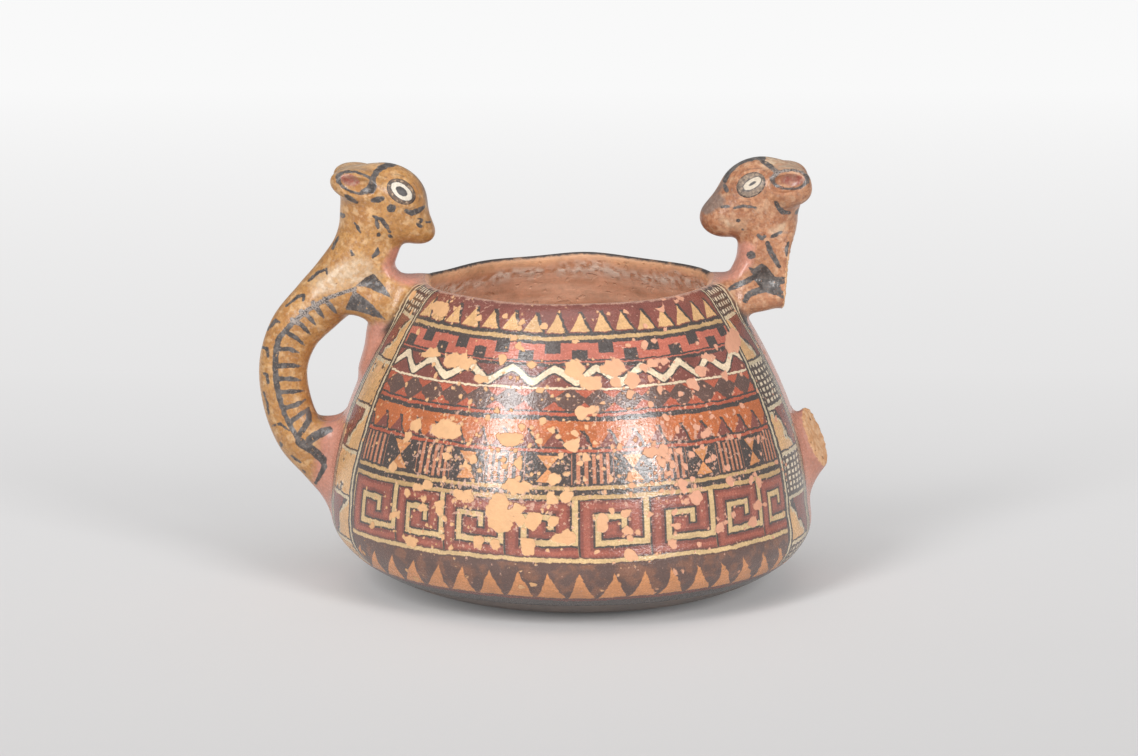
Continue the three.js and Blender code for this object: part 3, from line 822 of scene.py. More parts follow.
def from_line(places, line, halves=None):
    """Distance of places to a bent line, or to the edge of a stroke with a half-width at each point."""
    line = np.array(line, float)
    halves = np.zeros(len(line)) if halves is None else halves
    best = np.full(len(places), np.inf)
    for a, b, half_a, half_b in zip(line, line[1:], halves, halves[1:]):
        run = b - a
        part = np.clip((places - a) @ run / max(run.dot(run), 1e-9), 0.0, 1.0)
        away = np.hypot(*(places - a - part[:, None] * run).T)
        best = np.minimum(best, away - half_a - part * (half_b - half_a))
    return best


def from_shape(places, corners):
    """Signed distance of places to a filled shape."""
    corners = np.array(corners, float)
    x, z = places.T
    within = np.zeros(len(places), bool)
    for a, b in zip(corners, np.roll(corners, -1, axis=0)):
        if a[1] != b[1]:
            crosses = (a[1] > z) != (b[1] > z)
            within ^= crosses & (x < a[0] + (z - a[1]) * (b[0] - a[0]) / (b[1] - a[1]))
    away = from_line(places, np.concatenate([corners, corners[:1]]))
    return np.where(within, -away, away)


def section_table(outline):
    """Signed distances to a closed outline (radius, height) on an even grid of points."""
    spans = zip(SECTION_LOW, SECTION_HIGH)
    axes = [np.arange(low, high + SECTION_STEP, SECTION_STEP) for low, high in spans]
    grid = np.stack(np.meshgrid(*axes, indexing="ij"), axis=-1)
    return from_shape(grid.reshape(-1, 2), outline).reshape(grid.shape[:2])


SECTION_LOW = (0.0, -6.0)
SECTION_HIGH = (112.0, 150.0)
SECTION_STEP = 0.5
OUTSIDE = side_line(0.0, 0.0)
INSIDE = side_line(BASE_THICKNESS, WALL)
CLAY_OUTLINE = np.concatenate([[[0, 0]], OUTSIDE, lip_line(), INSIDE[::-1], [[0, BASE_THICKNESS]]])
FULL_OUTLINE = np.concatenate([[[0, 0]], OUTSIDE, lip_line()[: LIP_POINTS // 2], [[0, RIM_HEIGHT]]])
CLAY_TABLE = section_table(CLAY_OUTLINE)
FULL_TABLE = section_table(FULL_OUTLINE)


def looked_up(table, radius, height):
    """Values of a section table at any radius and height."""
    place_r = np.clip((radius - SECTION_LOW[0]) / SECTION_STEP, 0.0, table.shape[0] - 1.001)
    place_h = np.clip((height - SECTION_LOW[1]) / SECTION_STEP, 0.0, table.shape[1] - 1.001)
    row, column = place_r.astype(int), place_h.astype(int)
    part_r, part_h = place_r - row, place_h - column
    lower = table[row, column] * (1 - part_r) + table[row + 1, column] * part_r
    upper = table[row, column + 1] * (1 - part_r) + table[row + 1, column + 1] * part_r
    return lower * (1 - part_h) + upper * part_h


def surface_net(values):
    """Points (in grid steps) and four-cornered faces of the zero surface of a field."""
    inside = values < 0.0
    counts = np.zeros([n - 1 for n in values.shape], int)
    for i, j, k in np.ndindex(2, 2, 2):
        counts += inside[i : i + counts.shape[0], j : j + counts.shape[1], k : k + counts.shape[2]]
    active = (counts > 0) & (counts < 8)
    cells = np.argwhere(active)
    number = np.full(active.shape, -1)
    number[active] = np.arange(len(cells))
    total = np.zeros(cells.shape)
    hits = np.zeros(len(cells))
    faces = []
    for axis in range(3):
        unit = np.eye(3, dtype=int)[axis]
        next_axis, last_axis = np.eye(3, dtype=int)[(axis + 1) % 3], np.eye(3, dtype=int)[(axis + 2) % 3]
        for i, j in np.ndindex(2, 2):
            start = cells + i * next_axis + j * last_axis
            first = values[tuple(start.T)]
            second = values[tuple((start + unit).T)]
            crossed = (first < 0.0) != (second < 0.0)
            part = first[crossed] / (first[crossed] - second[crossed])
            total[crossed] += i * next_axis + j * last_axis + part[:, None] * unit
            hits[crossed] += 1
        before = np.take(inside, range(inside.shape[axis] - 1), axis=axis)
        after = np.take(inside, range(1, inside.shape[axis]), axis=axis)
        edges = np.argwhere(before != after)
        outward = before[tuple(edges.T)]
        corners = [edges - next_axis - last_axis, edges - last_axis, edges, edges - next_axis]
        quads = np.stack([number[tuple(c.T)] for c in corners], axis=1)
        faces.append(np.where(outward[:, None], quads, quads[:, ::-1]))
    return cells + total / hits[:, None], np.concatenate(faces)


# Meshes


def make_object(name, points, faces):
    """A smooth-shaded mesh object from points in millimetres."""
    mesh = bpy.data.meshes.new(name)
    mesh.from_pydata((points * MM).tolist(), [], [list(face) for face in faces])
    mesh.polygons.foreach_set("use_smooth", np.ones(len(mesh.polygons), bool))
    mesh.update()
    piece = bpy.data.objects.new(name, mesh)
    bpy.context.scene.collection.objects.link(piece)
    return piece


def put_fields(piece, **fields):
    """Stores numbers at each point of a piece, by name, for its material."""
    for name, values in fields.items():
        field = piece.data.attributes.new(name, "FLOAT", "POINT")
        field.data.foreach_set("value", np.asarray(values, np.float32))


def turned(name, outline, columns):
    """A closed body turned with the vessel's uneven shape; an outline end on the axis becomes one point."""
    turn = np.linspace(0.0, 2 * math.pi, columns, endpoint=False)
    points = []
    rings = []
    for radius, height in outline:
        start = sum(len(p) for p in points)
        if radius == 0.0:
            points.append(uneven(0.0, np.zeros(1), np.full(1, height)))
            rings.append(np.full(columns, start))
            continue
        points.append(uneven(radius, turn, np.full(columns, height)))
        rings.append(start + np.arange(columns))
    if outline[0][0] != 0.0:
        rings.append(rings[0])
    faces = []
    for low, high in zip(rings, rings[1:]):
        for face in np.stack([low, np.roll(low, -1), np.roll(high, -1), high], axis=1):
            faces.append(list(dict.fromkeys(face.tolist())))
    points = np.concatenate(points)
    return make_object(name, points, faces), points


# Pieces of the vessel


def wall_outline():
    """Up the outside, over the lip and down the inside; the foot closes it."""
    outside = respaced(side_line(0.0, 0.0, BASE_THICKNESS), OUTER_ROW)
    lip = respaced(lip_line(), LIP_ROW)
    inside = respaced(INSIDE[::-1], INNER_ROW)
    return np.concatenate([outside, lip[1:], inside[1:]])


def base_outline():
    """Across the flat underside, round the edge and back over the top."""
    under = respaced(np.array([[0.0, 0.0], [BASE_RADIUS, 0.0]]), INNER_ROW)
    edge = OUTSIDE[OUTSIDE[:, 1] < BASE_THICKNESS]
    seam = side_line(0.0, 0.0, BASE_THICKNESS)[:1]
    edge = respaced(np.concatenate([edge, seam]), OUTER_ROW)
    top = respaced(np.array([seam[0], [0.0, BASE_THICKNESS]]), INNER_ROW)
    return np.concatenate([under, edge[1:], top[1:]])


# Clay of the cats


def from_rim(side, stations):
    """Stations out from the rim's crest and above it, as places in the upright plane."""
    return [(side * (RIM_RADIUS + out), RIM_HEIGHT + rise, *halves) for out, rise, *halves in stations]


def from_wall(side, stations):
    """Stations out from the wall at their own height, as places in the upright plane."""
    return [(side * (wall_radius(high) + out), high, *halves) for out, high, *halves in stations]


class Head:
    """Where a cat's head is, with its own forward and up directions."""

    def __init__(self, side, sizes):
        self.side = side
        self.sizes = sizes
        self.middle = np.array([side * (RIM_RADIUS + sizes["out"]), 0.0, RIM_HEIGHT + sizes["rise"]])
        self.tilt = -side * sizes["tilt"]
        lean = math.radians(sizes["tilt"])
        self.forward = np.array([-side * math.cos(lean), 0.0, -math.sin(lean)])
        self.up = np.array([-side * math.sin(lean), 0.0, math.cos(lean)])

    def at(self, forward, up, aside=0.0):
        return self.middle + forward * self.forward + up * self.up + np.array([0.0, aside, 0.0])

    def field(self, block):
        """Skull, muzzle and cupped ears with the crest between them."""
        sizes = self.sizes
        muzzle_at = self.middle + np.array([-self.side * sizes["ahead"], 0.0, -sizes["drop"]])
        muzzle = lump(block, muzzle_at, sizes["muzzle"], -self.side * sizes["muzzle_tilt"])
        clay = blended(lump(block, self.middle, SKULL, self.tilt), muzzle, HEAD_FILLET)
        place, size = sizes["crest"]
        clay = blended(clay, lump(block, self.at(*place), size, self.tilt), EAR_FILLET)
        for face in (NEAR, FAR):
            for place, size, tilt in sizes["ear_lumps"]:
                at = self.at(place[0], place[1], face * place[2])
                ear = lump(block, at, size, self.tilt + self.side * tilt)
                clay = blended(clay, ear, EAR_FILLET)
            place, size = sizes["ear_cup"]
            cup = lump(block, self.at(place[0], place[1], face * place[2]), size, self.tilt)
            clay = pressed(clay, cup, CUP_EDGE)
        return clay


def leg_pair(block, clay, start, end, deep, wide):
    """Adds a near and a far leg to a field, each swelling from the body to the wall."""
    middle = (start[0] + end[0]) / 2
    first = (*start, deep * LEG_TAPER, wide * LEG_TAPER)
    stations = [first, (middle, end[1], deep, wide), (*end, deep, wide)]
    for face in (NEAR, FAR):
        leg = roll(block, stations, face * (wide + LEG_GAP / 2))
        clay = blended(clay, leg, CLAY_FILLET)
    return clay


def forequarters(block, side, clay):
    """Adds forelegs and the wad of clay in the corner of the neck and the rim."""
    height = RIM_HEIGHT - FORELEG_DROP[side]
    start = (side * (RIM_RADIUS + FORELEG_START), height + FORELEG_LIFT)
    end = (side * (wall_radius(height) - LEG_SINK), height)
    clay = leg_pair(block, clay, start, end, FORELEG_DEPTH[side] / 2, FORELEG_WIDTH / 2)
    return blended(clay, roll(block, from_rim(side, CHEST_STATIONS[side])), CLAY_FILLET)


def rough(a, b):
    """Grain of a broken face, in millimetres."""
    grain = np.sin(1.9 * a + 0.7) * np.sin(1.6 * b + 0.2 * a) + 0.6 * np.sin(3.4 * b - 1.1 * a + 1.3)
    return BREAK_GRAIN * (grain + 0.5 * np.sin(0.5 * a + 0.9) * np.sin(0.45 * b))


def clay_piece(name, block, clay, broken=None):
    """A skin of the clay, smeared onto the wall with a feathered edge and cut by a break, if any."""
    radius, _, height = even(block.x, block.y, block.z)
    skin = blended(clay, looked_up(CLAY_TABLE, radius, height), WALL_FILLET)
    cut = np.maximum(skin, -SUNK - looked_up(FULL_TABLE, radius, height))
    cut = np.maximum(cut, clay - (WALL_FILLET - FEATHER))
    if broken is not None:
        cut = pressed(cut, -broken, BREAK_EDGE)
        skin = pressed(skin, -broken, BREAK_EDGE)
    places, faces = surface_net(cut)
    points = block.low + places * block.step
    for _ in range(PROJECTIONS):
        off = block.sample(skin, points)
        free = np.abs(off - block.sample(cut, points)) < 0.5 * block.step
        points = points - np.where(free, off, 0.0)[:, None] * block.slope(skin, points)
    free = np.abs(block.sample(skin, points)) < 0.4 * block.step
    normals = np.where(free[:, None], block.slope(skin, points), block.slope(cut, points))
    piece = make_object(name, points, faces)
    piece.data.normals_split_custom_set_from_vertices(normals.tolist())
    return piece, points, skin


LEFT_HEAD_SHAPE = Head(LEFT, LEFT_HEAD)
RIGHT_HEAD_SHAPE = Head(RIGHT, RIGHT_HEAD)


def neck_break(x, y, z):
    """Distance beyond the break behind the right cat's neck."""
    lean = math.radians(NECK_BREAK_LEAN)
    bend = NECK_BREAK_CURVE * np.maximum(z - NECK_BREAK_CURVE_FROM, 0.0) ** 2
    out = x - RIM_RADIUS - NECK_BREAK_OUT - bend
    return out * math.cos(lean) - (z - RIM_HEIGHT) * math.sin(lean) + rough(y, z)


def left_cat():
    """The whole cat: handle roll, legs, chest, neck and head."""
    block = Block(*LEFT_BOX)
    trunk = roll(block, from_wall(LEFT, HANDLE_STATIONS) + from_rim(LEFT, NECK_STATIONS))
    clay = blended(trunk, LEFT_HEAD_SHAPE.field(block), HEAD_FILLET)
    clay = forequarters(block, LEFT, clay)
    clay = blended(clay, roll(block, from_wall(LEFT, ARMPIT_STATIONS)), CLAY_FILLET)
    start = (LEFT * (wall_radius(HINDLEG_HEIGHT) + HINDLEG_START), HINDLEG_HEIGHT)
    end = (LEFT * (wall_radius(HINDLEG_HEIGHT) - LEG_SINK), HINDLEG_HEIGHT)
    clay = leg_pair(block, clay, start, end, HINDLEG_DEPTH / 2, HINDLEG_WIDTH / 2)
    return (block, *clay_piece("left_cat", block, clay))


def right_cat():
    """What is left of the other cat at the rim, with its break behind the neck."""
    block = Block(*RIGHT_BOX)
    trunk = roll(block, from_rim(RIGHT, NECK_STATIONS))
    clay = forequarters(block, RIGHT, trunk)
    broken = neck_break(block.x, block.y, block.z)
    clay = pressed(clay, -broken, BREAK_EDGE)
    head = RIGHT_HEAD_SHAPE.field(block)
    clay = blended(clay, head, BROKEN_NECK_FILLET)
    return (block, *clay_piece("right_cat", block, clay))


def stub_break(x, y, z):
    """Distance beyond the break of the stub."""
    turn, lean = math.radians(STUB_BREAK_TURN), math.radians(STUB_BREAK_LEAN)
    facing = np.array([1.0, NEAR * math.tan(turn), math.tan(lean)])
    facing = facing / np.linalg.norm(facing)
    start = RIGHT * (wall_radius(STUB_HEIGHT) + STUB_BREAK_OUT)
    away = (x - start) * facing[0] + y * facing[1] + (z - STUB_HEIGHT) * facing[2]
    return away + rough(y, z)


def right_stub():
    """The broken root of the right handle on the belly."""
    block = Block(*STUB_BOX)
    clay = roll(block, from_wall(RIGHT, STUB_STATIONS))
    return (block, *clay_piece("right_handle_root", block, clay, stub_break(block.x, block.y, block.z)))


# Where paint and wear lie, stored on the points of each piece


def seen(points):
    """Places (x, z) on the upright plane through the axis where the camera sees points, far as near."""
    part = CAMERA_BACK / (CAMERA_BACK - np.abs(points[:, 1]))
    return np.stack([points[:, 0] * part, CAMERA_HIGH + (points[:, 2] - CAMERA_HIGH) * part], axis=1)


def from_oval(places, at, half, tilt=0.0):
    """About the signed distance of places to an oval turned by tilt degrees."""
    cos, sin = math.cos(math.radians(tilt)), math.sin(math.radians(tilt))
    dx, dz = places[:, 0] - at[0], places[:, 1] - at[1]
    near = np.hypot((cos * dx + sin * dz) / half[0], (cos * dz - sin * dx) / half[1])
    return (near - 1.0) * min(half)


def ink_distance(places, strokes, shapes):
    """Distance to the edge of the nearest brush stroke, negative inside it and at most INK_REACH."""
    best = np.full(len(places), INK_REACH)
    for half, line, start, end in strokes:
        knots = np.linspace(0.0, 1.0, len(line))
        parts = np.linspace(0.0, 1.0, STROKE_POINTS)
        path = np.stack([np.interp(parts, knots, axis) for axis in np.array(line, float).T], axis=1)
        halves = half * np.interp(parts, STROKE_SWELL, (start, 1.0, 1.0, end))
        low, high = path.min(axis=0) - INK_REACH, path.max(axis=0) + INK_REACH
        near = np.all((places > low) & (places < high), axis=1)
        best[near] = np.minimum(best[near], from_line(places[near], path, halves))
    for corners in shapes:
        best = np.minimum(best, from_shape(places, corners))
    return best


def paint_fields(piece, points):
    """Stores what the vessel's paint needs: a point's place round the vessel, in its bands and wear."""
    radius, turn, height = even(*points.T)
    degrees = np.degrees(turn)
    behind = np.abs(degrees) > 90.0
    fold = np.where(behind, np.sign(degrees) * 180.0 - degrees, degrees)
    beats = {name: np.interp(fold, marks, np.arange(len(marks))) for name, marks in MARKS.items()}
    up = np.clip((height - NECK_HEIGHT) / LIP_HEIGHT, 0.0, 1.0)
    middle = wall_radius(np.minimum(height, NECK_HEIGHT)) - WALL / 2
    middle = middle + (RIM_RADIUS - NECK_RADIUS + WALL / 2) * up
    places = seen(points)
    places[:, 0] = np.where(behind, -places[:, 0], places[:, 0])
    flake = np.full(len(points), FLAKE_REACH)
    for x, z, half_x, half_z in CHIPS:
        flake = np.minimum(flake, from_oval(places, (x, z), (half_x, half_z)))
    wear = np.zeros(len(points))
    for x, z, half_x, half_z, share in WORN:
        across, rise = (places[:, 0] - x) / half_x, (places[:, 1] - z) / half_z
        wear = wear + share * np.exp(-(across**2) - rise**2)
    put_fields(
        piece,
        turn=fold,
        level=height,
        back=smooth(np.abs(degrees), *BACK_FROM),
        inner=smooth(middle - radius, -INNER_SOFT, INNER_SOFT),
        flake=flake,
        wear=wear,
        **beats,
    )


# Sums on the nodes of a material


class Field:
    """A number that varies over a surface, held by a socket of a node tree."""

    def __init__(self, tree, socket):
        self.tree = tree
        self.socket = socket

    def __add__(self, other):
        return reckon("ADD", self, other)

    def __radd__(self, other):
        return reckon("ADD", other, self)

    def __sub__(self, other):
        return reckon("SUBTRACT", self, other)

    def __rsub__(self, other):
        return reckon("SUBTRACT", other, self)

    def __mul__(self, other):
        return reckon("MULTIPLY", self, other)

    def __rmul__(self, other):
        return reckon("MULTIPLY", other, self)

    def __abs__(self):
        return reckon("ABSOLUTE", self)


def reckon(operation, *values, clamp=False):
    """One Math node over fields and plain numbers."""
    tree = next(value.tree for value in values if isinstance(value, Field))
    node = tree.nodes.new("ShaderNodeMath")
    node.operation = operation
    node.use_clamp = clamp
    for socket, value in zip(node.inputs, values):
        if isinstance(value, Field):
            tree.links.new(value.socket, socket)
        else:
            socket.default_value = value
    return Field(tree, node.outputs[0])


def below(a, b, soft=BRUSH_EDGE):
    """1 where a is under b and 0 where it is over, with a soft edge."""
    if isinstance(b, Field):
        return reckon("MULTIPLY_ADD", b - a, 1.0 / soft, 0.5, clamp=True)
    return reckon("MULTIPLY_ADD", a, -1.0 / soft, b / soft + 0.5, clamp=True)


def above(a, b, soft=BRUSH_EDGE):
    """1 where a is over a plain number b."""
    return reckon("MULTIPLY_ADD", a, 1.0 / soft, 0.5 - b / soft, clamp=True)


def between(a, low, high, soft=BRUSH_EDGE):
    """1 where a lies between two plain numbers."""
    return below(abs(a - (low + high) / 2), (high - low) / 2, soft)


def gathered(operation, fields):
    """Fields taken together, two by two."""
    total = fields[0]
    for field in fields[1:]:
        total = reckon(operation, total, field)
    return total


def both(*masks):
    """1 where all masks are."""
    return gathered("MULTIPLY", masks)


def either(*masks):
    """1 where any mask is."""
    return gathered("MAXIMUM", masks)


def least(*fields):
    """The smallest of several fields."""
    return gathered("MINIMUM", fields)


def saw(beat):
    """From 0 to 1 between one whole beat and the next."""
    return reckon("FRACT", beat)


def swing(beat):
    """From -0.5 to 0.5, with 0 on each whole beat."""
    return reckon("FRACT", beat + 0.5) - 0.5


def box(x, y, left, right, low, high):
    """About the signed distance to a box."""
    across = abs(x - (left + right) / 2) - (right - left) / 2
    return reckon("MAXIMUM", across, abs(y - (low + high) / 2) - (high - low) / 2)


def attribute(tree, name):
    node = tree.nodes.new("ShaderNodeAttribute")
    node.attribute_name = name
    return Field(tree, node.outputs["Fac"])


def place_socket(tree):
    """Where a point is on the object itself."""
    return tree.nodes.new("ShaderNodeTexCoord").outputs["Object"]


def joined(x, y, z=0.0):
    """A place made of fields."""
    tree = x.tree
    node = tree.nodes.new("ShaderNodeCombineXYZ")
    for socket, value in zip(node.inputs, (x, y, z)):
        if isinstance(value, Field):
            tree.links.new(value.socket, socket)
        else:
            socket.default_value = value
    return node.outputs[0]


def noise(tree, size, detail=2.0, at=None):
    """Cloudy noise from 0 to 1 whose lumps are about this many millimetres across."""
    node = tree.nodes.new("ShaderNodeTexNoise")
    node.inputs["Scale"].default_value = 1.0 if at else 1.0 / (size * MM)
    node.inputs["Detail"].default_value = detail
    tree.links.new(at or place_socket(tree), node.inputs["Vector"])
    return Field(tree, node.outputs["Fac"])


def sway(field, reach):
    """A field from 0 to 1 as one that sways about 0 by this much in all."""
    return (field - 0.5) * reach


def clouds(tree, size, detail, level, soft):
    """1 where cloudy noise is over a level, with a soft edge."""
    return above(noise(tree, size, detail), level, soft)


def spots(tree, apart, smallest, largest, share):
    """Signed distance in millimetres to ragged spots of random size, in a share of scattered places."""
    ragged = tree.nodes.new("ShaderNodeTexNoise")
    ragged.inputs["Scale"].default_value = SPOT_RAGS / (apart * MM)
    moved = tree.nodes.new("ShaderNodeVectorMath")
    moved.operation = "MULTIPLY_ADD"
    moved.inputs[1].default_value = [SPOT_SHIFT * apart * MM] * 3
    place = place_socket(tree)
    tree.links.new(place, ragged.inputs["Vector"])
    tree.links.new(ragged.outputs["Color"], moved.inputs[0])
    tree.links.new(place, moved.inputs[2])
    node = tree.nodes.new("ShaderNodeTexVoronoi")
    node.inputs["Scale"].default_value = 1.0 / (apart * MM)
    tree.links.new(moved.outputs[0], node.inputs["Vector"])
    parts = tree.nodes.new("ShaderNodeSeparateColor")
    tree.links.new(node.outputs["Color"], parts.inputs[0])
    chance = Field(tree, parts.outputs[0])
    size = Field(tree, parts.outputs[1])
    size = reckon("MULTIPLY_ADD", size * size, largest - smallest, smallest)
    missing = 1.0 - below(chance, share, SPOT_SOFT)
    return Field(tree, node.outputs["Distance"]) * apart - size + missing * apart


def linear(colour):
    """A colour of a picture, 0 to 255, as light."""
    parts = [part / 255.0 for part in colour]
    return (*[p / 12.92 if p <= 0.04045 else ((p + 0.055) / 1.055) ** 2.4 for p in parts], 1.0)


class Paint:
    """The colour of a surface, laid on in coats."""

    def __init__(self, tree, colour):
        self.tree = tree
        self.colour = colour

    def lay(self, colour, where):
        """One more coat over what is there."""
        node = self.tree.nodes.new("ShaderNodeMix")
        node.data_type = "RGBA"
        self.tree.links.new(where.socket, node.inputs["Factor"])
        colours = [socket for socket in node.inputs if socket.type == "RGBA"]
        for socket, value in zip(colours, (self.colour, colour)):
            if isinstance(value, Paint):
                value = value.colour
            if isinstance(value, tuple):
                socket.default_value = linear(value)
            else:
                self.tree.links.new(value, socket)
        self.colour = [socket for socket in node.outputs if socket.type == "RGBA"][0]
        return self

    def shaded(self, amount):
        """Lighter and darker by a field from -1 to 1."""
        node = self.tree.nodes.new("ShaderNodeHueSaturation")
        self.tree.links.new(self.colour, node.inputs["Color"])
        self.tree.links.new((amount + 1.0).socket, node.inputs["Value"])
        self.colour = node.outputs["Color"]
        return self


# Bands of the vessel's paint, from the rim down


def lines(tree, v, ground, rows):
    """Plain lines: a ground colour, and rows of a colour between two levels."""
    paint = Paint(tree, ground)
    for colour, low, high in rows:
        paint.lay(colour, between(v, low, high))
    return paint


def tooth(u, y, left, tip, right, tall):
    """A triangle that stands on y = 0 between left and right, with its tip at a height."""
    from_left = below(left + y * ((tip - left) / tall), u)
    return both(from_left, below(u, right - y * ((right - tip) / tall)), above(y, 0.0))


def tooth_row(tree, p, v, ground, fill, sizes):
    """A row of teeth on a ground colour, each with a black stroke on its right side."""
    u = saw(p * (1.0 / sizes["every"])) * sizes["unit"]
    y = v - sizes["foot"]
    stroke = below(abs(u - sizes["stroke"] + y * sizes["lean"]), TOOTH_STROKE_HALF)
    paint = Paint(tree, ground).lay(BLACK, both(stroke, below(y, sizes["stroke_top"])))
    return paint.lay(fill, tooth(u, y, *sizes["corners"]))


def stepped_ribbon(tree, v, beat):
    """A brick ribbon that black squares from above and below bend into steps."""
    u = abs(swing(beat)) * RIBBON_UNIT
    paint = Paint(tree, BRICK)
    paint.lay(BLACK, both(below(u, UPPER_SQUARE_HALF), above(v, UPPER_SQUARE_FROM)))
    return paint.lay(BLACK, both(above(u, LOWER_SQUARE_FROM), below(v, LOWER_SQUARE_TO)))


def zigzag(tree, v, beat):
    """A cream zigzag with a dark edge on maroon, over a cream line."""
    part = abs(swing(beat))
    wave = reckon("COSINE", part * (2 * math.pi)) * 0.5 + (0.5 - part * 2.0)
    away = abs(v - ZIGZAG_MIDDLE - wave * ZIGZAG_RISE)
    paint = Paint(tree, MAROON)
    paint.lay(BLACK, either(below(away, ZIGZAG_EDGE), above(v, ZIGZAG_TOP)))
    paint.lay(ZIGZAG_CREAM, below(away, ZIGZAG_HALF))
    return paint.lay(ZIGZAG_CREAM, between(v, *ZIGZAG_LINE))


def diamonds(tree, p, v):
    """Dark diamonds in a row on red."""
    part = abs(swing(p * (1.0 / DIAMONDS)))
    reach = part * DIAMOND_WIDTH + abs(v - DIAMOND_MIDDLE) * DIAMOND_SQUAT
    return Paint(tree, RED).lay(BLACK_BROWN, below(reach, DIAMOND_REACH))


def saw_row(tree, p, v):
    """Maroon saw teeth on orange, over black."""
    return tooth_row(tree, p, v, ORANGE, MAROON, SAW_TOOTH).lay(BLACK, below(v, SAW_TOOTH["foot"]))


def bars_and_glasses(tree, v, beat):
    """Groups of upright bars on black, with orange hourglasses between them."""
    u = swing(beat) * BAR_UNIT
    stripe = between(saw(u * BARS_PER_MM + BAR_START), *BAR_SHARE, BAR_SOFT)
    paint = Paint(tree, BLACK).lay(BAR, both(below(abs(u), BAR_GROUP_HALF), stripe))
    x = abs(abs(u) - BAR_UNIT / 2)
    half = abs(v - GLASS_MIDDLE)
    return paint.lay(FANG_ORANGE, both(below(x, half * GLASS_SLOPE), below(half, GLASS_HALF)))


def frets(tree, v, beat):
    """Square cream spirals with dark edges on maroon, each hung from the line above."""
    x = saw(beat) * FRET_WIDTH
    y = v - FRET_LEVEL
    away = least(*[box(x, y, *sides) for sides in FRET_BOXES], x, FRET_TOP - y)
    red = both(above(away, FRET_RED_FROM, FRET_RED_SOFT), below(away, FRET_RED_TO, FRET_RED_SOFT))
    paint = Paint(tree, MAROON).lay(FRET_RED, red)
    paint.lay(BLACK, below(away, FRET_EDGE))
    return paint.lay(CREAM, below(away, FRET_CORE))


def fangs(tree, p, v):
    """Orange fangs on dark brown, upright to the eye on the left and leaning over on the right."""
    y = v - FANG_FOOT
    upright = p * (y * FANG_SPREAD + 1.0)
    u = saw(upright * (1.0 / FANGS) + FANG_START) * FANG_UNIT
    lean = reckon("MULTIPLY_ADD", p, *FANG_LEAN_GROWS, clamp=True) * FANG_LEAN
    rise = y * (1.0 / FANG_TALL)
    left = reckon("POWER", rise, FANG_BEND) * (lean + FANG_LEFT_RUN) + FANG_LEFT
    right = rise * (lean - FANG_RIGHT_RUN) + FANG_RIGHT
    ground = Paint(tree, BLACK_BROWN).lay(BROWN_WORN, clouds(tree, 5.0, 5.0, 0.55, 0.12) * 0.7)
    return ground.lay(FANG_ORANGE, both(below(left, u), below(u, right), above(y, 0.0)))


def side_strip(tree, p, v):
    """The upright strip beside a handle: nets and slanted patches by turns, the left nets rubbed off."""
    t = abs(p) - STRIP_FROM
    panel = (v - STRIP_START) * (1.0 / STRIP_STEP)
    step = saw(panel) * STRIP_STEP
    dash_across = below(abs(swing(t * (1.0 / NET_ACROSS))), DASH_ACROSS, DASH_SOFT)
    dash_up = below(abs(swing(v * (1.0 / NET_UP))), DASH_UP, DASH_SOFT)
    net = Paint(tree, NET_BROWN).lay(NET_CREAM, both(dash_across, dash_up))
    net.lay(BUFF, both(below(p, 0.0), below(v, RUBBED_TOP), clouds(tree, 4.0, 4.0, 0.4, 0.06)))
    slant = t * SLANT_ACROSS + step * SLANT_UP + sway(noise(tree, 6.0), SLANT_SWAY)
    field = Paint(tree, MAROON).lay(BUFF, below(slant, SLANT_EDGE))
    field.lay(BLACK, between(slant, *SLANT_BLACK))
    field.lay(STRIP_CREAM, between(slant, *SLANT_CREAM))
    field.lay(net, above(saw(panel * 0.5), 0.5, 0.002))
    field.lay(STRIP_CREAM, below(step, PANEL_CREAM))
    field.lay(BLACK, between(step, *PANEL_BLACK))
    paint = Paint(tree, BLACK_BROWN).lay(field, between(t, *STRIP_PANEL))
    paint.lay(BLACK, either(*[between(t, *span) for span in STRIP_BORDERS]))
    return paint.lay(STRIP_CREAM, either(*[between(t, *span) for span in STRIP_LINES]))


